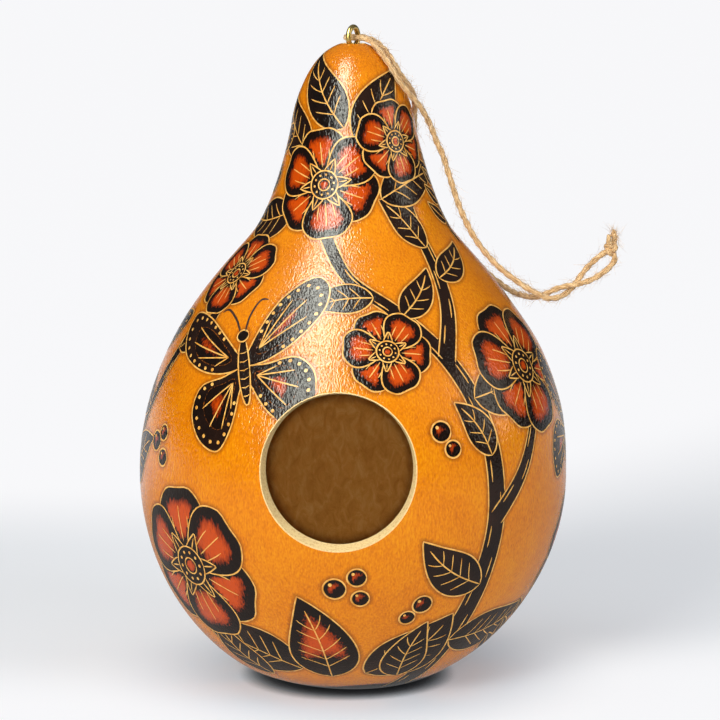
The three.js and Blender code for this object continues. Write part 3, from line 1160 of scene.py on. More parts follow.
@dataclass(frozen=True)
class Place:
    """Where a motif's plane touches the gourd: angle and place of its origin, and its turn."""

    angle: float
    along: float
    turn: float = 0.0

    LOWEST = -18.0
    CROWN_MARGIN = 1.0

    def to_gourd(self, surface: GourdSurface, points: Array) -> tuple[Array, Array]:
        """Wraps plane points onto the gourd: across becomes arc length at that height.

        Args:
            surface: the gourd's skin.
            points: places in the plane.

        Returns:
            Angles, and lengths along the outline.
        """
        across, up = turned(points, self.turn).T
        along = np.clip(self.along + up, self.LOWEST, surface.outline.top - self.CROWN_MARGIN)
        return math.radians(self.angle) + across / surface.girth(along), along

    def to_plane(self, surface: GourdSurface, angle: Array, along: Array) -> Array:
        """Unwraps points of the gourd into the motif's plane."""
        swing = np.mod(angle - math.radians(self.angle) + math.pi, FULL_TURN) - math.pi
        return turned(np.stack([swing * surface.girth(along), along - self.along], axis=-1), -self.turn)


def signed_distance(points: Array, outline: Array) -> Array:
    """Distance from points to a closed outline, negative inside it.

    The distance is the least over its sides, and a point is inside if a line from it to the
    right crosses the sides an odd number of times.

    Args:
        points: places in a plane.
        outline: corners of the outline, in order.

    Returns:
        One distance for each point.
    """
    start, side = outline, np.roll(outline, -1, axis=0) - outline
    offset = points[:, None, :] - start[None, :, :]
    length = np.maximum((side ** 2).sum(axis=1), TINY)
    share = np.clip((offset * side[None]).sum(axis=2) / length[None], 0.0, 1.0)
    gap = np.sqrt(((offset - share[..., None] * side[None]) ** 2).sum(axis=2).min(axis=1))
    above = start[None, :, 1] > points[:, 1, None]
    crossing = above != np.roll(above, -1, axis=1)
    rise = np.where(np.abs(side[:, 1]) < TINY, TINY, side[:, 1])
    meets = start[None, :, 0] + (points[:, 1, None] - start[None, :, 1]) / rise[None] * side[None, :, 0]
    inside = (crossing & (points[:, 0, None] < meets)).sum(axis=1) % 2 == 1
    return np.where(inside, -gap, gap)


@dataclass(frozen=True)
class Placed:
    """One step of the drawing, with its place and a ball that holds it, for quick tests."""

    step: Step
    place: Place
    centre: Array
    reach: float


@dataclass
class Decoration:
    """The garden drawn round the gourd, and what it does to the skin."""

    surface: GourdSurface
    placed: list[Placed] = field(default_factory=list)

    FOOT_CHAR = 10.5
    PATCH_MARGIN = 5.0
    TONE_MARGIN = 0.8
    HOLE_MARGIN = 0.9
    FOOT_MARGIN = 7.0
    CROWN_MARGIN = 6.0
    OVERLAP = 0.12
    DOT_SIDES = 9
    DOT_LIFT = 0.05
    BAND_LIFT = 0.04
    BAND_STEP = 0.75

    def put(self, steps: Sequence[Step], angle: float, height: float, turn: float = 0.0) -> None:
        """Adds a drawing to the gourd.

        Args:
            steps: the drawing, in its own plane.
            angle: degrees round the gourd.
            height: height of the drawing's origin.
            turn: degrees that the drawing is turned to the left.
        """
        place = Place(angle, float(self.surface.outline.along_at(np.array(height))), turn)
        for step in steps:
            self.place_step(step, place)

    def place_step(self, step: Step, place: Place) -> None:
        """Notes one step with the ball round it.

        Args:
            step: the step.
            place: where its plane touches the gourd.
        """
        if isinstance(step, Dot):
            corners = step.centre[None, :]
        else:
            corners = step.outline if isinstance(step, Patch) else step.line
        spots = self.surface.outside(*place.to_gourd(self.surface, corners))
        centre = spots.mean(axis=0)
        self.placed.append(Placed(step, place, centre, float(np.linalg.norm(spots - centre, axis=1).max())))

    def grow(self, branch: Branch) -> None:
        """Adds a branch, whose line is given on the gourd itself.

        Args:
            branch: the branch.
        """
        angle, height = branch.line[len(branch.line) // 2]
        place = Place(angle, float(self.surface.outline.along_at(np.array(height))))
        degrees, heights = np.array(branch.line).T
        route = place.to_plane(self.surface, np.radians(degrees), self.surface.outline.along_at(heights))
        for step in branch.draw(route):
            self.place_step(step, place)

    def compose(self) -> None:
        """Lays the whole design out, from the back of the drawing to its front."""
        for branch in (
                Branch(((30, 2), (37, 18), (42, 40), (44, 62), (42, 84), (34, 103), (20, 116), (2, 125),
                        (-12, 136)), 8.0, 4.2),
                Branch(((44, 58), (54, 70), (62, 84)), 5.4, 3.6),
                Branch(((34, 103), (42, 118), (46, 134), (42, 150)), 5.2, 3.2),
                Branch(((-74, 2), (-82, 24), (-86, 48), (-80, 72), (-70, 92), (-60, 112)), 7.6, 3.6),
                Branch(((142, 2), (134, 30), (139, 58), (150, 84), (156, 108), (150, 130), (138, 146)),
                       8.0, 3.6),
                Branch(((139, 58), (124, 76), (114, 96)), 5.2, 3.2),
                Branch(((-150, 2), (-143, 30), (-134, 56), (-132, 82), (-140, 104)), 7.6, 3.6)):
            self.grow(branch)
        broad, tinted = Leaf(36, 20, 2.4, 5), Leaf(36, 20, 2.4, 5, Ink.DYED)
        big, middle, small = Leaf(35, 17, 3.4, 5), Leaf(27, 13.5, -2.6, 4), Leaf(19, 9.6, 1.8, 3)
        for angle, height, turn, leaf in (
                (38, 20, -74, big), (42, 38, 52, middle), (43, 76, 34, small), (40, 92, -66, big),
                (22, 115, -34, small), (12, 120, 104, small), (44, 124, -52, small), (46, 132, 34, small),
                (-84, 34, 64, big), (-84, 60, -54, middle), (-74, 84, 60, middle), (-66, 102, -36, small),
                (136, 36, -68, big), (137, 50, 60, middle), (148, 82, -60, big), (155, 102, 56, middle),
                (152, 124, -48, small), (122, 80, 62, middle), (-146, 24, 64, big), (-136, 48, -62, middle),
                (-132, 72, 62, big), (-135, 92, -58, middle), (-16, 12, 66, broad), (-5, 9, 12, tinted),
                (9, 10, -44, broad), (24, 8, -8, middle), (-34, 8, 16, middle), (-4, 166, 24, middle),
                (14, 160, -30, middle), (-34, 158, 40, middle), (24, 146, -78, middle),
                (-40, 142, 96, middle)):
            self.put(leaf.draw(), angle, height, turn)
        for angle, height, turn, radius in (
                (-46, 42, 8, 25.0), (-18, 150, 12, 17.5), (65, 98, 14, 21.0), (44, 162, 10, 13.0),
                (-58, 124, 6, 15.0), (134, 156, 0, 14.0), (112, 110, 0, 19.0), (-142, 118, 4, 20.0),
                (98, 40, 0, 25.0), (178, 44, 12, 25.0), (-112, 50, 0, 23.0), (15, 106, 22, 13.5)):
            self.put(Rosette(radius).draw(), angle, height, turn)
        for angle, height, turn, span in (
                (-31, 101, 22, 52.0), (90, 76, -28, 44.0), (178, 98, 14, 50.0), (-104, 100, -18, 48.0),
                (-100, 155, 6, 25.0), (-176, 156, -12, 32.0)):
            self.put(Butterfly(span).draw(), angle, height, turn)
        for angle, height, turn, sprig in (
                (72, 8, -4, Sprig(30, 3, 6.0, 13.0)), (120, 8, 8, Sprig(26, 3, 5.0, 12.0)),
                (-126, 8, -8, Sprig(26, 3, -4.0, 12.0)), (-104, 6, 4, Sprig(20, 2, 3.0, 11.0)),
                (84, 132, -4, Sprig(34, 4, 4.0, 11.0))):
            self.put(sprig.draw(), angle, height, turn)
        for angle, height, radius in (
                (-1, 40, 3.3), (5, 43.5, 2.8), (6, 37, 2.6), (24, 34, 3.0), (20, 30, 2.4), (28, 84, 3.0),
                (31, 79, 2.5), (-62, 76, 3.0), (-57, 72, 2.6), (-58, 79, 2.4)):
            self.put(Berry(radius).draw(), angle, height)

    def marks(self, angle: Array, along: Array) -> dict[str, Array]:
        """What the materials need to know at each point of the skin.

        Later patches cover earlier ones: a new shape joins its own field by the lesser distance
        and is cut out of the other field by the greater of that field and its own opposite.

        Args:
            angle: angles of the points.
            along: their lengths along the outline.

        Returns:
            The distance to the nearest charred shape, to the nearest dyed one, and the dye's tone.
        """
        foot = self.FOOT_CHAR + 1.2 * np.sin(3 * angle + 0.4) + 0.6 * np.sin(7 * angle)
        char = np.clip(along - foot, -FAR, FAR)
        dye = np.full(len(angle), FAR)
        tone = np.zeros(len(angle))
        for item in self.placed:
            if not isinstance(item.step, Patch):
                continue
            patch = item.step
            plane = item.place.to_plane(self.surface, angle, along)
            low = patch.outline.min(axis=0) - self.PATCH_MARGIN
            high = patch.outline.max(axis=0) + self.PATCH_MARGIN
            near = np.flatnonzero(((plane > low) & (plane < high)).all(axis=1))
            gap = signed_distance(plane[near], patch.outline)
            own, other = (char, dye) if patch.ink is Ink.BURNT else (dye, char)
            own[near] = np.minimum(own[near], gap)
            other[near] = np.maximum(other[near], -gap)
            if patch.ink is Ink.DYED:
                share = np.linalg.norm(plane[near] - np.array(patch.root), axis=1) / patch.reach
                rim = np.clip(0.23 * patch.reach, 0.6, 6.0)
                edge = 1.0 - smoothstep(0.1 * rim, 1.3 * rim, -gap)
                shade = np.maximum(edge, 1.0 - smoothstep(0.2, 0.5, share))
                tone[near] = np.where(gap < self.TONE_MARGIN, shade, tone[near])
        return {"char_edge": char, "dye_edge": dye, "dye_tone": tone}

    def shows(self, number: int, spots: Array, angle: Array, along: Array) -> Array:
        """Whether points of a step show: not in the hole, not off the skin, not under later patches.

        Args:
            number: the step's place in the order of drawing.
            spots: its points on the skin.
            angle: their angles.
            along: their lengths along the outline.

        Returns:
            True for each point that shows.
        """
        seen = ~self.surface.in_hole(angle, along, self.HOLE_MARGIN)
        seen &= (along > self.FOOT_MARGIN) & (along < self.surface.outline.top - self.CROWN_MARGIN)
        middle, size = spots.mean(axis=0), np.ptp(spots, axis=0).max()
        for later in self.placed[number + 1:]:
            if not isinstance(later.step, Patch):
                continue
            if np.linalg.norm(later.centre - middle) > later.reach + size + 1.0:
                continue
            plane = later.place.to_plane(self.surface, angle, along)
            seen &= signed_distance(plane, later.step.outline) > -self.OVERLAP
        return seen

    def ribbons(self) -> dict[Ink, Skin]:
        """All cut and burnt strokes as thin bands that lie on the skin, and all dots as small discs.

        A band's two edges are its line moved half its width to either side in the plane of arc
        length and height; its width eases in and out at the ends of a run.

        Returns:
            One skin for each kind of stroke.
        """
        found: dict[Ink, list[Skin]] = {Ink.CARVED: [], Ink.BURNT: []}
        for number, item in enumerate(self.placed):
            if isinstance(item.step, Dot):
                found[Ink.CARVED] += self.disc(number, item)
            elif isinstance(item.step, Stroke):
                found[item.step.ink] += self.bands(number, item)
        return {ink: joined(skins) for ink, skins in found.items()}

    def disc(self, number: int, item: Placed) -> list[Skin]:
        """A dot as a fan of triangles round its centre, or nothing where it doesn't show.

        Args:
            number: the step's place in the order.
            item: the dot on the gourd.

        Returns:
            One skin or none.
        """
        rim = item.step.centre + item.step.radius * circle(self.DOT_SIDES)
        angle, along = item.place.to_gourd(self.surface, np.vstack([item.step.centre, rim]))
        spots = self.surface.outside(angle, along, self.DOT_LIFT)
        if not self.shows(number, spots, angle, along).all():
            return []
        return [Skin(spots, (cap(np.arange(self.DOT_SIDES) + 1, 0),))]

    def bands(self, number: int, item: Placed) -> list[Skin]:
        """A stroke as one band for each run of it that shows.

        Args:
            number: the step's place in the order.
            item: the stroke on the gourd.

        Returns:
            The bands.
        """
        angle, along = item.place.to_gourd(self.surface, even_steps(item.step.line, self.BAND_STEP))
        seen = self.shows(number, self.surface.outside(angle, along), angle, along)
        edges = np.flatnonzero(np.diff(np.concatenate([[False], seen, [False]]).astype(int)))
        return [self.band(angle[start:stop], along[start:stop], item.step.width)
                for start, stop in zip(edges[::2], edges[1::2]) if stop - start >= 3]

    def band(self, angle: Array, along: Array, width: float) -> Skin:
        """One run of a stroke as a strip of quads, two points across.

        Args:
            angle: radians round the gourd.
            along: millimetres along the outline.
            width: the stroke's width.

        Returns:
            The band.
        """
        girth = self.surface.girth(along)
        across = side_of(np.stack([(angle - angle[0]) * girth.mean(), along], axis=1))
        count = len(angle)
        ends = np.minimum(np.arange(count), np.arange(count)[::-1])
        half = 0.5 * width * np.clip(0.35 + 0.4 * ends, 0.0, 1.0)
        sides = [self.surface.outside(angle + hand * half * across[:, 0] / girth,
                                      along + hand * half * across[:, 1], self.BAND_LIFT)
                 for hand in (1.0, -1.0)]
        table = np.arange(2 * count).reshape(count, 2)
        return Skin(np.stack(sides, axis=1).reshape(-1, 3), (table_quads(table, False)[:, ::-1],))


@dataclass
class GourdShell:
    """The hollow gourd: outer skin, entry hole, inner wall, and the seat and pilot hole of the eye."""

    surface: GourdSurface
    columns: int = 340
    rows: int = 196
    foot_rows: int = 9
    front_fineness: float = 0.35
    hole_block: float = 28.0
    hole_rings: int = 9
    inner_hole_rings: int = 5
    bore_depths: tuple[float, ...] = (0.05, 0.16, 0.36, 0.6, 0.82, 1.0)
    sanded_edge: float = 0.3
    seat_height: float = 191.3
    seat_radius: float = 4.0
    seat_rows: int = 6
    pilot_radius: float = 1.6
    pilot_rows: int = 4
    pilot_margin: float = 0.6
    points: list[Array] = field(default_factory=list)
    count: int = 0

    def store(self, points: Array) -> Array:
        """Keeps points and returns their numbers in the same layout.

        Args:
            points: points in any layout.

        Returns:
            The numbers.
        """
        flat = points.reshape(-1, 3)
        numbers = np.arange(self.count, self.count + len(flat)).reshape(points.shape[:-1])
        self.points.append(flat)
        self.count += len(flat)
        return numbers

    def build(self, finishes: Sequence[Material], decoration: Decoration) -> Object:
        """Builds the shell as one closed skin and gives it the decoration's marks.

        The outer skin is a grid of angle and length along the outline, finer at the front. A block
        of it round the entry hole is filled with rings that run evenly from the hole's circle to the
        block's border. The bore joins it to the inner wall, a grid with half as many lines.

        Args:
            finishes: skin, sawn edge and inside materials.
            decoration: the drawing on the skin.

        Returns:
            The gourd's object.
        """
        shape = self.surface.outline
        turn = (np.arange(self.columns) - self.columns // 2) / self.columns
        angles = FULL_TURN * turn - self.front_fineness * np.sin(FULL_TURN * turn)
        seat_edge = self.seat_along()
        alongs = np.concatenate([np.linspace(-shape.foot_radius, 0.0, self.foot_rows)[1:-1],
                                 np.linspace(0.0, seat_edge, self.rows)])
        block = self.block_round_hole(angles, alongs)
        outer_at = np.meshgrid(angles, alongs)
        outer = self.store(self.surface.outside(*outer_at))
        foot = self.store(np.array([[0.0, 0.0, 0.0]]))[0]
        border_angle, border_along = (frame_of(part, block) for part in outer_at)
        border = self.surface.outside(border_angle, border_along)
        bearing = np.arctan2(border[:, 2] - self.surface.entry_height, border[:, 0])
        rim_angle, rim_along = self.surface.round_hole(bearing, self.surface.mouth_radius)
        mouth = self.surface.outside(rim_angle, rim_along)
        sanded = self.sanded_edge / np.linalg.norm(border - mouth, axis=1)[None]
        even = (np.arange(1, self.hole_rings) / self.hole_rings)[:, None]
        share = np.vstack([np.zeros_like(sanded), sanded, sanded + (1.0 - sanded) * even])
        ring_angle = rim_angle + (border_angle - rim_angle) * share
        ring_along = rim_along + (border_along - rim_along) * share
        rings = self.store(self.surface.outside(ring_angle, ring_along))
        rings = np.vstack([rings, frame_of(outer, block)[None]])
        inner_rim = self.surface.inside(*self.surface.round_hole(bearing, self.surface.bore_radius, True))
        depth = np.array(self.bore_depths)[:, None]
        bore_points = mouth[None] + (inner_rim - mouth)[None] * depth[..., None]
        bore = np.vstack([rings[:1], self.store(self.saw_marks(bore_points, bearing, depth))])
        crown_rows = self.crown_rows(seat_edge)
        crown_points = round_axis(angles, crown_rows[:, :1], crown_rows[:, 1:])
        crown = np.vstack([outer[-1:], self.store(crown_points)])
        inner_along = alongs[::-1][::2]
        wide = shape.read(shape.inner_radius, inner_along) > self.pilot_radius + self.pilot_margin
        inner_along = inner_along[wide]
        inner_at = np.meshgrid(angles[::2], inner_along)
        inner = self.store(self.surface.inside(*inner_at))
        inner_block = self.inner_block(alongs, inner_along, block)
        floor = self.store(np.array([[0.0, 0.0, shape.wall]]))[0]
        skin_faces = [open_block(outer, block), cap(outer[0], foot)[:, ::-1],
                      table_quads(rings[:0:-1])]
        sawn_faces = [table_quads(crown), table_quads(bore), table_quads(rings[1::-1])]
        inside_faces = [open_block(inner, inner_block), thinning(crown[-1], inner[0]),
                        cap(inner[-1], floor), *self.inner_rings(bore[-1], inner, inner_at, inner_block)]
        skin = Skin(np.vstack(self.points), tuple(skin_faces + sawn_faces + inside_faces))
        slots = [0] * len(skin_faces) + [1] * len(sawn_faces) + [2] * len(inside_faces)
        on_skin = np.concatenate([outer.ravel(), [foot], rings[:-1].ravel()])
        skin_angle = np.concatenate([outer_at[0].ravel(), [0.0], ring_angle.ravel()])
        skin_along = np.concatenate([outer_at[1].ravel(), [-shape.foot_radius], ring_along.ravel()])
        used, skin = used_points(skin)
        marks = {}
        for name, values in decoration.marks(skin_angle, skin_along).items():
            everywhere = np.full(self.count, FAR)
            everywhere[on_skin] = values
            marks[name] = everywhere[used]
        return make_piece("gourd_skin", skin, finishes, slots, marks)

    def seat_along(self) -> float:
        """Where the outline runs into the eye's seat, a ball-shaped hollow in the crown.

        Returns:
            Millimetres along the outline.
        """
        shape = self.surface.outline
        far = np.hypot(shape.radius, shape.up - self.seat_height) > self.seat_radius
        return float(shape.along[np.flatnonzero(far)[-1]])

    def crown_rows(self, seat_edge: float) -> Array:
        """Radius and height of the rows down the seat, an arc of a circle, and the pilot hole.

        Args:
            seat_edge: where the outline runs into the seat.

        Returns:
            A radius and a height for each row.
        """
        shape = self.surface.outline
        edge = float(self.surface.girth(np.array(seat_edge)))
        ends = (math.asin(edge / self.seat_radius), math.asin(self.pilot_radius / self.seat_radius))
        swing = np.linspace(*ends, self.seat_rows)[1:]
        seat = self.seat_radius * np.stack([np.sin(swing), -np.cos(swing)], axis=1)
        seat = seat + [0.0, self.seat_height]
        bottom = shape.height - shape.crown_wall
        down = np.linspace(seat[-1, 1], bottom, self.pilot_rows)[1:]
        pilot = np.stack([np.full_like(down, self.pilot_radius), down], axis=1)
        return np.vstack([seat, pilot])

    def block_round_hole(self, angles: Array, alongs: Array) -> Block:
        """First and last row and column of the block of cells round the entry hole, all even.

        Args:
            angles: the grid's columns.
            alongs: its rows.

        Returns:
            The block.
        """
        shape = self.surface.outline
        middle = float(shape.along_at(np.array(self.surface.entry_height)))
        girth = float(self.surface.girth(np.array(middle)))
        low = int(np.searchsorted(alongs, middle - self.hole_block))
        high = int(np.searchsorted(alongs, middle + self.hole_block))
        left = int(np.searchsorted(angles, -self.hole_block / girth))
        right = int(np.searchsorted(angles, self.hole_block / girth))
        last = len(alongs) - 1
        return (low - (last - low) % 2, high + (last - high) % 2, left - left % 2, right + right % 2)

    @staticmethod
    def inner_block(alongs: Array, inner_along: Array, block: Block) -> Block:
        """The same block on the inner grid, whose rows run down and are every second one.

        Args:
            alongs: rows of the outer grid.
            inner_along: rows of the inner one.
            block: the outer grid's block.

        Returns:
            The inner grid's block.
        """
        low, high, left, right = block
        top = int(np.argmin(np.abs(inner_along - alongs[high])))
        bottom = int(np.argmin(np.abs(inner_along - alongs[low])))
        return (top, bottom, left // 2, right // 2)

    def inner_rings(self, bore_end: Array, inner: Array, inner_at: list[Array],
                    block: Block) -> list[Array]:
        """Faces from the bore's inner edge out to the inner grid's block, in coarser rings.

        Args:
            bore_end: point numbers of the bore's last ring, counted as the outer border is.
            inner: point numbers of the inner grid.
            inner_at: its angles and lengths along the outline.
            block: its block round the hole.

        Returns:
            The thinning triangles and the ring quads.
        """
        top, bottom, left, right = block
        upright = (0, bottom - top, left, right)

        def border(table: Array) -> Array:
            """The block's border, with its rows turned to run up as the outer ones do."""
            return frame_of(table[top:bottom + 1][::-1], upright)

        border_angle, border_along = map(border, inner_at)
        edge = self.surface.inside(border_angle, border_along)
        bearing = np.arctan2(edge[:, 2] - self.surface.entry_height, edge[:, 0])
        rim_angle, rim_along = self.surface.round_hole(bearing, self.surface.bore_radius, True)
        share = (np.arange(1, self.inner_hole_rings) / self.inner_hole_rings)[:, None]
        middle = self.store(self.surface.inside(rim_angle + (border_angle - rim_angle) * share,
                                                rim_along + (border_along - rim_along) * share))
        rings = np.vstack([middle, border(inner)[None]])
        return [thinning(bore_end, rings[0]), table_quads(rings)]

    @staticmethod
    def saw_marks(points: Array, bearing: Array, depth: Array) -> Array:
        """Moves the bore in and out a little, as a hand-held saw leaves it, but not at its ends.

        Args:
            points: rings of the bore.
            bearing: radians round it.
            depth: share of the way in, for each ring.

        Returns:
            The points, moved.
        """
        wave = 0.07 * np.sin(11 * bearing + 5 * depth) + 0.05 * np.sin(23 * bearing - 9 * depth)
        wave = wave * np.sin(math.pi * np.clip(depth, 0.0, 1.0))
        out = np.stack([np.cos(bearing), np.zeros_like(bearing), np.sin(bearing)], axis=1)
        return points + wave[..., None] * out[None]


@dataclass
class ScrewEye:
    """The brass screw eye: a ring of wire on a threaded shank with a gimlet point."""

    centre: Point = (0.0, 0.0, 191.3)
    ring_outer: float = 7.4
    wire: float = 1.6
    turn: float = -24.0
    shank_length: float = 1.2
    thread_length: float = 10.8
    thread_run_in: float = 0.8
    thread_diameter: float = 2.6
    thread_root: float = 1.9
    thread_pitch: float = 1.2
    point_length: float = 2.4
    point_share: float = 0.06
    tip_length: float = 0.1
    ring_sides: int = 72
    wire_sides: int = 22
    stem_rows: int = 150
    stem_sides: int = 24

    def ring(self) -> Skin:
        """A torus: the ring's circle stands upright, turned about Z, with the wire's circle round it.

        Returns:
            Its skin.
        """
        heading = math.radians(self.turn)
        across = np.array([-math.sin(heading), math.cos(heading), 0.0])
        axis = np.array([math.cos(heading), math.sin(heading), 0.0])
        upright = np.array([0.0, 0.0, 1.0])
        round_ring = turns(self.ring_sides)[:, None, None]
        round_wire = turns(self.wire_sides)[None, :, None]
        out = np.cos(round_ring) * across + np.sin(round_ring) * upright
        reach = 0.5 * (self.ring_outer - self.wire) + 0.5 * self.wire * np.cos(round_wire)
        points = np.array(self.centre) + reach * out + 0.5 * self.wire * np.sin(round_wire) * axis
        table = np.arange(self.ring_sides * self.wire_sides).reshape(self.ring_sides, self.wire_sides)
        return Skin(points.reshape(-1, 3), (table_quads(np.vstack([table, table[:1]])),))

    def shank(self) -> Skin:
        """A stem whose radius grows and shrinks with height minus turn times pitch, a helical thread.

        The thread's ridge is a raised cosine to the fourth power, and the stem tapers at the point
        by a power of the length that is left.

        Returns:
            Its skin.
        """
        top = self.centre[2] - 0.5 * (self.ring_outer - self.wire)
        long = self.shank_length + self.thread_length
        down = np.linspace(0.0, long, self.stem_rows)[:, None]
        round_stem = turns(self.stem_sides)[None, :]
        phase = down / self.thread_pitch - round_stem / FULL_TURN
        ridge = (0.5 + 0.5 * np.cos(FULL_TURN * phase)) ** 4
        cut = smoothstep(self.shank_length, self.shank_length + self.thread_run_in, down)
        taper = np.clip((long - down) / self.point_length, self.point_share, 1.0) ** 0.8
        plain = 0.5 * self.wire * (1.0 - cut) + 0.5 * self.thread_root * cut
        radius = (plain + cut * ridge * 0.5 * (self.thread_diameter - self.thread_root)) * taper
        points = round_axis(round_stem, radius, top - down)[::-1].reshape(-1, 3)
        tip, lid = len(points), len(points) + 1
        table = np.arange(tip).reshape(self.stem_rows, self.stem_sides)
        ends = np.array([[0.0, 0.0, top - long - self.tip_length], [0.0, 0.0, top]])
        caps = np.vstack([cap(table[0], tip)[:, ::-1], cap(table[-1], lid)])
        return Skin(np.vstack([points, ends]), (table_quads(table), caps))

    def build(self, brass: Material) -> Object:
        """Builds the eye in place of its plain node.

        Args:
            brass: its material.

        Returns:
            The piece.
        """
        piece = make_piece("brass_screw_eye", joined([self.ring(), self.shank()]), [brass])
        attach(piece, "gourd")
        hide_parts("screw_eye")
        return piece


# The strands run from the hitch and end inside the knot, and the tails start there.
FRONT_STRAND = (
    (4.8, -1.2, 190.5), (7.0, -3.6, 188.7), (9.2, -5.7, 186.3), (11.4, -6.8, 183.2), (13.6, -7.1, 179.6),
    (16.4, -6.2, 175.8), (19.7, -3.5, 171.4), (22.4, -0.6, 166.4), (24.4, 1.3, 161.0), (26.4, 1.8, 156.4),
    (27.9, 1.9, 151.7), (29.4, 2.1, 147.0), (31.0, 2.1, 142.2), (33.0, 2.2, 137.5), (35.5, 2.3, 132.7),
    (38.9, 2.2, 128.0), (43.4, 2.0, 123.3), (49.6, 2.0, 118.6), (54.1, 2.2, 115.9), (57.7, 2.8, 114.3),
    (61.2, 4.4, 114.6), (64.1, 6.0, 116.4), (66.2, 6.6, 119.1), (68.5, 6.4, 122.4), (71.4, 5.8, 125.5),
    (73.5, 5.3, 127.3), (75.2, 5.2, 128.4))
BACK_STRAND = (
    (5.6, 2.4, 190.3), (8.1, -0.2, 188.8), (10.4, -2.6, 186.5), (12.6, -4.1, 183.2), (14.6, -4.0, 179.9),
    (16.6, -1.4, 176.9), (17.7, 3.2, 173.6), (17.6, 8.0, 169.4), (17.3, 12.8, 162.6), (17.7, 17.2, 153.6),
    (19.5, 20.4, 145.5), (23.0, 22.6, 138.0), (27.8, 24.2, 131.0), (33.6, 24.7, 124.5), (39.8, 23.2, 118.5),
    (46.1, 19.3, 114.4), (50.6, 13.0, 113.6), (54.1, 7.8, 114.0), (57.0, 5.7, 115.3), (60.3, 4.6, 117.0),
    (63.2, 3.9, 117.9), (66.4, 3.4, 118.6), (70.0, 3.5, 119.7), (72.9, 4.1, 121.3), (75.6, 4.8, 123.4),
    (77.2, 5.3, 125.7), (76.9, 5.3, 127.6))
LONG_TAIL = ((76.9, 6.2, 130.6), (77.0, 6.3, 132.2), (76.8, 6.3, 134.4))
SHORT_TAIL = ((75.5, 4.2, 130.6), (75.4, 4.1, 131.8), (75.3, 4.1, 133.2))


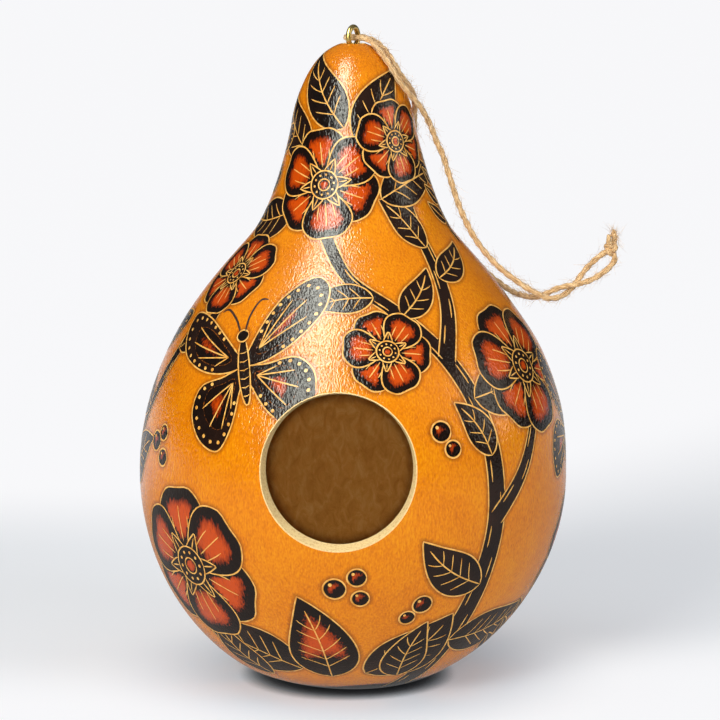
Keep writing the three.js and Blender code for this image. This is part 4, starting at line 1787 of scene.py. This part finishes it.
@dataclass
class TwineLoop:
    """The jute loop: a bight round the eye, two strands, a knot and its two tails."""

    diameter: float = 1.8
    lay: float = 6.6
    ply_radius_share: float = 0.375
    ply_offset_share: float = 0.13
    sides: int = 18
    strand_step: float = 0.28
    tail_step: float = 0.24
    taper_from: float = 0.55
    long_tail_end: float = 0.55
    short_tail_end: float = 0.6
    end_bulge: float = 0.25
    end_uv: Pair = (0.3, 0.2)
    pivot: Point = (1.177, 2.643, 191.1)
    swing: Pair = (0.0, 90.0)
    hitch_radius: float = 2.0
    hitch_slack: float = 1.6
    hitch_leg: float = 1.0
    hitch_turn: float = -12.0
    hitch_samples: int = 13
    knot_centre: Point = (76.1, 5.3, 128.9)
    knot_radius: float = 1.5
    knot_depth: float = 1.5
    knot_samples: int = 120
    knot_side: Point = (0.31, 0.9, 0.3)
    hair_length: float = 3.0
    hair_shares: Pair = (0.35, 1.0)
    hair_radius: float = 0.055
    hair_taper: float = 0.75
    hair_root: float = 0.36
    hair_curl: float = 0.35
    hair_lean: Pair = (0.2, 1.1)
    hair_rows: int = 5
    hair_sides: int = 3
    hair_uv: Pair = (0.5, 0.5)
    hairs_per_mm: float = 6.5
    hairs_least: int = 12
    tail_hairs_times: float = 5.0
    hair_clearance: float = 0.25
    outline: GourdOutline = field(default_factory=GourdOutline)
    eye: ScrewEye = field(default_factory=ScrewEye)

    def ply_radius(self, bearing: Array, run: Array) -> Array:
        """Outline of two round plies side by side that turn once in each lay length.

        The radius towards a bearing b from the plies' line is c |cos b| plus the root of
        a^2 - (c sin b)^2, for plies of radius a at c to either side.

        Args:
            bearing: radians round the cord.
            run: millimetres along it.

        Returns:
            Millimetres from the cord's middle.
        """
        swing = bearing - FULL_TURN * run / self.lay
        half, apart = self.ply_radius_share * self.diameter, self.ply_offset_share * self.diameter
        return apart * np.abs(np.cos(swing)) + np.sqrt(half ** 2 - (apart * np.sin(swing)) ** 2)

    def cord(self, name: str, line: Array, across: Array, jute: Material,
             loop: bool = False, thin_end: float = 1.0) -> Object:
        """Carries the two-ply outline along a line and makes it a piece.

        Args:
            name: the piece's name.
            line: points along the cord's middle, evenly spaced.
            across: a direction that the line never takes, one for all points or one for each.
            jute: the twine's material.
            loop: whether the line closes on itself.
            thin_end: how thick the last point is, as a share of the cord.

        Returns:
            The new object.
        """
        wrapped = np.vstack([line[-1:], line, line[:1]])
        slope = unit(np.gradient(wrapped, axis=0)[1:-1] if loop else np.gradient(line, axis=0))
        side = unit(np.cross(slope, np.broadcast_to(across, line.shape)))
        over = np.cross(slope, side)
        run = run_along(line)
        bearing = turns(self.sides)
        radius = self.ply_radius(bearing[None, :], run[:, None])
        taper = smoothstep(self.taper_from, 1.0, run / run[-1])
        radius = radius * (1.0 + (thin_end - 1.0) * taper)[:, None]
        east, north = (part(bearing)[None, :, None] for part in (np.cos, np.sin))
        ring = east * side[:, None] + north * over[:, None]
        points = (line[:, None] + radius[..., None] * ring).reshape(-1, 3)
        table = np.arange(len(line) * self.sides).reshape(len(line), self.sides)
        table = np.vstack([table, table[:1]]) if loop else table
        corner_turn = np.array([0.0, 1.0, 1.0, 0.0])[None, None] + np.arange(self.sides)[None, :, None]
        corner_row = np.array([0, 0, 1, 1])[None, None] + np.arange(len(table) - 1)[:, None, None]
        long = np.concatenate([run, run[-1:] + run[1]]) if loop else run
        corners = np.broadcast_arrays(corner_turn / self.sides, long[corner_row])
        uv = np.stack(corners, axis=-1).reshape(-1, 2)
        blocks = [table_quads(table)]
        if not loop:
            first, last = len(points), len(points) + 1
            bulge = self.end_bulge * slope
            points = np.vstack([points, line[:1] - bulge[:1], line[-1:] + bulge[-1:]])
            blocks.append(np.vstack([cap(table[0], first)[:, ::-1], cap(table[-1], last)]))
            uv = np.vstack([uv, np.tile([self.end_uv], (3 * len(blocks[-1]), 1))])
        piece = make_piece(name, Skin(points, tuple(blocks)), [jute], corner_uv=uv)
        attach(piece, "hanging_loop")
        return piece

    def off_the_gourd(self, places: Array) -> Array:
        """Finds the hairs that stay off the skin and the eye at both ends of the loop's swing.

        Turned about the pivot, a point's gap from the skin is its distance from the gourd's axis less
        the skin's radius there. Its gap from the eye is its distance from the ring's middle less the
        ring's outer radius.

        Args:
            places: points along each hair, hair by hair.

        Returns:
            True for each hair whose least gap is above the clearance.
        """
        pivot, eye = np.array(self.pivot), np.array(self.eye.centre)
        grown = self.outline.along >= 0.0
        gaps = []
        for turn in np.radians(self.swing):
            c, s = np.cos(turn), np.sin(turn)
            spin = np.array([[c, -s, 0.0], [s, c, 0.0], [0.0, 0.0, 1.0]])
            swung = (places - pivot) @ spin.T + pivot
            skin = np.interp(swung[..., 2], self.outline.up[grown], self.outline.radius[grown])
            gaps.append(np.hypot(swung[..., 0], swung[..., 1]) - skin)
            gaps.append(np.linalg.norm(swung - eye, axis=-1) - 0.5 * self.eye.ring_outer)
        return np.min(gaps, axis=(0, 2)) > self.hair_clearance

    def hairs(self, name: str, line: Array, jute: Material, seed: int, dense: float = 1.0) -> Object:
        """Loose fibres that stand off a cord: bent three-sided needles from its surface.

        A hair's middle leaves the cord's side, leans along it and curls with the square of its length.

        Args:
            name: the piece's name.
            line: points along the cord's middle.
            jute: the twine's material.
            seed: starts the random numbers.
            dense: share of the usual number of hairs.

        Returns:
            The new object.
        """
        chance = np.random.default_rng(seed)
        count = max(int(line_length(line) * self.hairs_per_mm * dense), self.hairs_least)
        at = chance.integers(1, len(line) - 1, count)
        along = unit(line[at + 1] - line[at - 1])
        out = unit(np.cross(along, chance.normal(size=(count, 3))))
        along = along * chance.choice([-1.0, 1.0], (count, 1))
        reach = self.hair_length * chance.uniform(*self.hair_shares, (count, 1, 1)) ** 1.5
        t = np.linspace(0.0, 1.0, self.hair_rows)[None, :, None]
        curl = chance.normal(scale=self.hair_curl, size=(count, 1, 3)) * t ** 2
        lean = chance.uniform(*self.hair_lean, (count, 1, 1))
        middle = line[at][:, None] + self.hair_root * self.diameter * out[:, None] + reach * (
            t * out[:, None] * lean + (t + 0.2 * t ** 2) * along[:, None] + curl)
        clear = self.off_the_gourd(middle)
        middle, along, out = middle[clear], along[clear], out[clear]
        across = np.cross(along, out)
        spoke = turns(self.hair_sides)[None, None, :, None]
        thick = (self.hair_radius * (1.0 - self.hair_taper * t))[..., None, :]
        ring = np.cos(spoke) * out[:, None, None] + np.sin(spoke) * across[:, None, None]
        points = (middle[:, :, None] + thick * ring).reshape(-1, 3)
        table = np.arange(self.hair_rows * self.hair_sides).reshape(self.hair_rows, self.hair_sides)
        starts = table.size * np.arange(len(middle))[:, None, None]
        faces = table_quads(table)[None] + starts
        caps = np.stack([table[0, ::-1], table[-1]])[None] + starts
        uv = np.tile([self.hair_uv], (faces.size + caps.size, 1))
        skin = Skin(points, (faces.reshape(-1, 4), caps.reshape(-1, self.hair_sides)))
        piece = make_piece(name, skin, [jute], corner_uv=uv)
        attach(piece, "hanging_loop")
        return piece

    def hitch_points(self) -> Array:
        """The bight round the eye's wire: two legs and half a circle between them.

        Returns:
            Points along the cord's middle.
        """
        swing = np.linspace(0.0, math.pi, self.hitch_samples)
        bend = -self.hitch_radius * np.stack([np.sin(swing), np.cos(swing)], axis=1)
        bend = bend - [self.hitch_slack, 0.0]
        legs = np.array([[self.hitch_leg, -self.hitch_radius], [self.hitch_leg, self.hitch_radius]])
        flat = turned(np.vstack([legs[:1], bend, legs[1:]]), self.hitch_turn)
        return np.column_stack([flat, np.zeros(len(flat))]) + np.array(self.pivot)

    def knot_points(self) -> Array:
        """A trefoil, the overhand knot's line: sin t + 2 sin 2t, -sin 3t and cos t - 2 cos 2t, scaled.

        Returns:
            Points along the cord's middle.
        """
        t = turns(self.knot_samples)
        line = np.stack([np.sin(t) + 2.0 * np.sin(2.0 * t), -self.knot_depth * np.sin(3.0 * t),
                         np.cos(t) - 2.0 * np.cos(2.0 * t)], axis=1)
        return np.array(self.knot_centre) + line * self.knot_radius / 3.0

    def build(self, jute: Material) -> list[Object]:
        """Builds the twine's pieces in place of their plain nodes.

        Args:
            jute: the twine's material.

        Returns:
            The pieces.
        """
        sideways, upward = np.array([0.0, 1.0, 0.0]), np.array([0.0, 0.0, 1.0])
        hitch_line = smooth_route(self.hitch_points(), self.strand_step)
        front_line = smooth_route([hitch_line[0], *FRONT_STRAND], self.strand_step)
        back_line = smooth_route([hitch_line[-1], *BACK_STRAND], self.strand_step)
        long_line, short_line = (smooth_route(tail, self.tail_step) for tail in (LONG_TAIL, SHORT_TAIL))
        front = self.cord("jute_front_strand", front_line, sideways, jute)
        back = self.cord("jute_back_strand", back_line, sideways, jute)
        hitch = self.cord("jute_hitch", hitch_line, upward, jute)
        knot = self.cord("jute_knot", self.knot_points(), np.array(self.knot_side), jute, loop=True)
        long_tail = self.cord("jute_long_tail", long_line, sideways, jute, thin_end=self.long_tail_end)
        short_tail = self.cord("jute_short_tail", short_line, sideways, jute, thin_end=self.short_tail_end)
        front_hairs = self.hairs("jute_front_hairs", front_line, jute, seed=11)
        back_hairs = self.hairs("jute_back_hairs", back_line, jute, seed=12)
        tail_hairs = self.hairs("jute_tail_hairs", long_line, jute, seed=13, dense=self.tail_hairs_times)
        for piece, node in ((front, "twine_front_strand"), (back, "twine_back_strand"),
                            (hitch, "twine_hitch"), (knot, "twine_knot"),
                            (long_tail, "twine_long_tail"), (short_tail, "twine_short_tail")):
            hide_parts(node)
        return [front, back, hitch, knot, long_tail, short_tail, front_hairs, back_hairs, tail_hairs]


class Shine(Enum):
    """What a lamp gives: only highlights, or only an even light without any."""

    GLOSS = "gloss"
    FILL = "fill"


@dataclass(frozen=True)
class WhiteCard:
    """Matt white card under and behind the gourd.

    The eye gets a cool white sheet. What the camera sees of it glows a little, so shadows stay pale;
    this glow is painted light, which rises behind and in front of the gourd and stays low round it.
    The varnish mirrors a duller one. Near the foot the card is painted darker and bluer as painted
    shade against the lamps' stronger light and the gourd's orange bounce, and under the foot a
    painted contact shadow darkens it where little light comes in.
    Distances are metres from the middle of the foot, and levels run from 0 to 1.
    """

    # Painted shade near the foot: a darker, bluer card that offsets the lamps' stronger light there and the
    # gourd's orange bounce.
    near: str = "#dcebfc"
    open: str = "#f3f8fe"
    in_front: str = "#777a80"
    # Painted contact shadow: the card's colour under the foot, where ambient occlusion finds the gourd
    # close above.
    painted_contact_shadow: str = "#4a4c50"
    mirrored: str = "#958f88"
    glow: str = "#f9f9fb"
    shade_distance: float = 0.0055
    shade_samples: int = 12
    shade_levels: Pair = (0.15, 0.75)
    back_edge: float = 0.15
    back_widening: float = 12.0
    front_slant: float = -0.25

    def build(self) -> Material:
        """Makes the material of the table.

        Returns:
            The material.
        """
        material, add = blank_material("white_card_matt")
        place = add("ShaderNodeTexCoord").outputs["Object"]
        spot = add("ShaderNodeSeparateXYZ", {0: place})
        right, back = spot.outputs["X"], spot.outputs["Y"]
        away = add("ShaderNodeVectorMath", {0: place}, operation="LENGTH").outputs["Value"]
        rightward = add("ShaderNodeMath", {0: right, 1: 0.0}, operation="MAXIMUM")
        widened = add("ShaderNodeMath", {
            0: rightward, 1: self.back_widening, 2: 1.0}, operation="MULTIPLY_ADD")
        depth = add("ShaderNodeMath", {0: back, 1: self.back_edge}, operation="SUBTRACT")
        beyond = add("ShaderNodeMath", {0: depth, 1: widened}, operation="DIVIDE")
        slant = add("ShaderNodeMath", {0: right, 1: self.front_slant, 2: back}, operation="MULTIPLY_ADD")
        # Each fade has its start and end in metres, and its level at either one.
        behind, before, clear, far, grey = (
            add("ShaderNodeMapRange", {
                "Value": value, "From Min": start, "From Max": end, "To Min": low, "To Max": high},
                interpolation_type="SMOOTHSTEP")
            for value, start, end, low, high in (
                (beyond, 0.0, 0.13, 0.25, 0.97), (slant, 0.045, -0.03, 0.25, 0.85),
                (away, 0.035, 0.085, 0.2, 1.0), (away, 0.45, 0.7, 0.0, 0.97),
                (back, -0.06, -0.12, 0.0, 1.0)))
        # Painted contact shadow: where ambient occlusion finds the gourd close above, the card's colour
        # turns to the shadow colour and its camera glow is cut.
        open_sky = add("ShaderNodeAmbientOcclusion", {
            "Distance": self.shade_distance}, samples=self.shade_samples)
        outside_contact_shadow = add("ShaderNodeMapRange", {
            "Value": open_sky.outputs["AO"], "From Min": self.shade_levels[0],
            "From Max": self.shade_levels[1], "To Min": 0.0, "To Max": 1.0})
        # The camera glow is painted light: it rises behind the gourd and in front of it, stays low round
        # the gourd and further back on the right, is cut down near the foot and in the painted contact
        # shadow, and is full far off.
        pale = behind
        for operation, other in (("MAXIMUM", before), ("MULTIPLY", clear), ("MULTIPLY", outside_contact_shadow),
                                 ("MAXIMUM", far)):
            pale = add("ShaderNodeMath", {0: pale, 1: other}, operation=operation)
        ray = add("ShaderNodeLightPath")
        mirrored = add("ShaderNodeMath", {
            0: ray.outputs["Is Glossy Ray"], 1: ray.outputs["Is Transmission Ray"]}, operation="MAXIMUM")
        # Painted shade: the card is darker and bluer near the foot, against the lamps' stronger light and
        # the gourd's orange bounce, and takes the painted contact shadow's colour under the foot.
        tint = linear(self.near)
        for factor, so_far, new, colour in (
                (clear, MIX_A, MIX_B, self.open), (grey, MIX_A, MIX_B, self.in_front),
                (outside_contact_shadow, MIX_B, MIX_A, self.painted_contact_shadow), (mirrored, MIX_A, MIX_B, self.mirrored)):
            tint = add("ShaderNodeMix", {
                MIX_FACTOR: factor, so_far: tint, new: linear(colour)},
                data_type="RGBA").outputs[MIX_RESULT]
        card = add("ShaderNodeBsdfDiffuse", {"Color": tint})
        glow = add("ShaderNodeEmission", {"Color": linear(self.glow), "Strength": 1.0})
        backdrop = add("ShaderNodeMath", {0: mirrored, 1: behind}, operation="MULTIPLY")
        share = add("ShaderNodeMath", {
            0: ray.outputs["Is Camera Ray"], 1: pale, 2: backdrop}, operation="MULTIPLY_ADD")
        close_material(add, add("ShaderNodeMixShader", {0: share, 1: card, 2: glow}))
        return material


@dataclass
class Studio:
    """A white table, soft daylight from the left and a long-lens camera."""

    azimuth: float = 4.0
    elevation: float = 9.0
    distance: float = 900.0
    aim_height: float = 95.6
    aim_right: float = 2.0
    lens: float = 151.2
    sensor: float = 36.0
    nearest: float = 0.05
    lamp_aim: Point = (0.0, 0.0, 0.09)
    sky_from: Point = (-0.35, -0.25, 0.9)
    sky_strength: float = 0.46
    sky_degrees: float = 64.0
    room_colour: tuple[float, ...] = (0.98, 0.99, 1.0, 1.0)
    room_levels: Pair = (0.06, 0.42)
    room_top: float = 0.9
    mirrored_loss: float = 0.65

    @staticmethod
    def heading(azimuth: float, elevation: float) -> Vector:
        """The way from the gourd to a place, by degrees to the right of the front and above the table."""
        turn, rise = math.radians(azimuth), math.radians(elevation)
        return Vector((math.sin(turn) * math.cos(rise), -math.cos(turn) * math.cos(rise), math.sin(rise)))

    def camera(self) -> None:
        """Places the camera on a sphere round the aim point, looking at it."""
        turn = math.radians(self.azimuth)
        right = Vector((math.cos(turn), math.sin(turn), 0.0))
        aim = (right * self.aim_right + Vector((0.0, 0.0, self.aim_height))) * MM
        back = self.heading(self.azimuth, self.elevation)
        data = bpy.data.cameras.new("photo_camera")
        data.lens = self.lens
        data.sensor_width = self.sensor
        data.clip_start = self.nearest
        eye = bpy.data.objects.new("photo_camera", data)
        eye.location = aim + back * self.distance * MM
        eye.rotation_euler = (-back).to_track_quat("-Z", "Y").to_euler()
        bpy.context.scene.collection.objects.link(eye)
        bpy.context.scene.camera = eye

    def softbox(self, name: str, azimuth: float, elevation: float, distance: float,
                size: Pair, power: float, colour: str, roll: float = 0.0,
                only: Shine | None = None) -> None:
        """Adds one rectangular lamp that faces the gourd.

        Args:
            name: the lamp's name.
            azimuth: degrees to the right of the front.
            elevation: degrees above the table.
            distance: metres from the gourd.
            size: width and height in metres.
            power: watts.
            colour: sRGB hex.
            roll: degrees that the lamp is rolled about its own axis.
            only: the one kind of light that it gives, or both where none is named.
        """
        data = bpy.data.lights.new(name, "AREA")
        data.shape = "RECTANGLE"
        data.size, data.size_y = size
        data.energy = power
        data.color = linear(colour)[:3]
        way = self.heading(azimuth, elevation)
        lamp = bpy.data.objects.new(name, data)
        lamp.location = Vector(self.lamp_aim) + way * distance
        facing = (-way).to_track_quat("-Z", "Y")
        lamp.rotation_euler = (facing @ Quaternion((0.0, 0.0, 1.0), math.radians(roll))).to_euler()
        lamp.visible_diffuse = only is not Shine.GLOSS
        lamp.visible_glossy = only is not Shine.FILL
        bpy.context.scene.collection.objects.link(lamp)

    def daylight(self) -> None:
        """A wide, soft sun that lights the table evenly and leaves a faint shadow."""
        data = bpy.data.lights.new("overcast_sky", "SUN")
        data.energy = self.sky_strength
        data.angle = math.radians(self.sky_degrees)
        lamp = bpy.data.objects.new("overcast_sky", data)
        lamp.rotation_euler = (-Vector(self.sky_from)).to_track_quat("-Z", "Y").to_euler()
        lamp.visible_glossy = False
        bpy.context.scene.collection.objects.link(lamp)

    def room(self) -> None:
        """Sets a grey world, pale overhead and dim at the walls.

        The varnish mirrors a darker room than the one that lights it.
        """
        world = bpy.data.worlds.new("studio_room")
        world.use_nodes = True
        world.node_tree.nodes.clear()
        add = partial(add_node, world.node_tree)
        sky = add("ShaderNodeTexCoord").outputs["Generated"]
        up = add("ShaderNodeSeparateXYZ", {0: sky}).outputs["Z"]
        strength = add("ShaderNodeMapRange", {
            "Value": up, "From Min": 0.0, "From Max": self.room_top, "To Min": self.room_levels[0],
            "To Max": self.room_levels[1]}, interpolation_type="SMOOTHSTEP")
        glossy = add("ShaderNodeLightPath").outputs["Is Glossy Ray"]
        dimmed = add("ShaderNodeMath", {
            0: glossy, 1: -self.mirrored_loss, 2: 1.0}, operation="MULTIPLY_ADD")
        level = add("ShaderNodeMath", {0: strength, 1: dimmed}, operation="MULTIPLY")
        glow = add("ShaderNodeBackground", {"Color": self.room_colour, "Strength": level})
        add("ShaderNodeOutputWorld", {"Surface": glow})
        bpy.context.scene.world = world

    def table(self) -> None:
        """Lays a large sheet of white card under the gourd and far behind it."""
        left, right, front, back = -9.0, 9.0, -9.0, 15.0
        corners = [(left, front, 0.0), (right, front, 0.0), (right, back, 0.0), (left, back, 0.0)]
        mesh = bpy.data.meshes.new("white_table")
        mesh.from_pydata(corners, [], [(0, 1, 2, 3)])
        mesh.materials.append(WhiteCard().build())
        table = bpy.data.objects.new("white_table", mesh)
        bpy.context.scene.collection.objects.link(table)

    def build(self) -> None:
        """Sets up camera, lamps, world and table."""
        bpy.context.scene.view_settings.view_transform = "Standard"
        self.camera()
        self.daylight()
        self.softbox("left_panel", -27.0, 23.0, 1.2, (0.46, 0.46), 10.2, "#fffaf2", 0.0, Shine.FILL)
        self.softbox("left_panel_gloss", -22.0, 27.0, 1.1, (0.37, 0.68), 12.4, "#f8fbf0", 11.0, Shine.GLOSS)
        self.softbox("overhead_gloss", -35.0, 60.0, 1.1, (0.37, 0.66), 14.8, "#f8fbf0", 24.0, Shine.GLOSS)
        self.softbox("right_strip_gloss", 88.0, 20.0, 1.2, (0.3, 0.5), 2.2, "#fff6e4", 0.0, Shine.GLOSS)
        self.softbox("front_window", 4.0, 10.0, 1.5, (0.05, 0.05), 7.4, "#fffcf8", 0.0, Shine.FILL)
        self.softbox("right_wall", 60.0, 24.0, 1.2, (0.5, 0.8), 4.2, "#fdfcff", 0.0, Shine.FILL)
        self.room()
        self.table()


def main() -> None:
    """Builds the studio, the twine, the eye, the gourd and the drawing on it."""
    logging.basicConfig(level=logging.INFO, format="%(name)s: %(message)s")
    Studio().build()
    TwineLoop().build(JuteTwine().build())
    ScrewEye().build(BrassWire().build())
    surface = GourdSurface()
    decoration = Decoration(surface)
    decoration.compose()
    finishes = [LacqueredGourd().build(), SawnFlesh().build(), DryInside().build()]
    gourd = GourdShell(surface).build(finishes, decoration)
    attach(gourd, "gourd")
    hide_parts("gourd_shell")
    strokes = decoration.ribbons()
    lines = joined([strokes[Ink.CARVED], strokes[Ink.BURNT]])
    kinds = [0] * len(strokes[Ink.CARVED].blocks) + [1] * len(strokes[Ink.BURNT].blocks)
    burnt = CarvedLine("burnt_line_lacquered", "#2c1a10", "#4a2a12")
    drawing = make_piece("carved_drawing", lines, [CarvedLine().build(), burnt.build()], kinds)
    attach(drawing, "gourd")


if __name__ == "__main__":
    main()
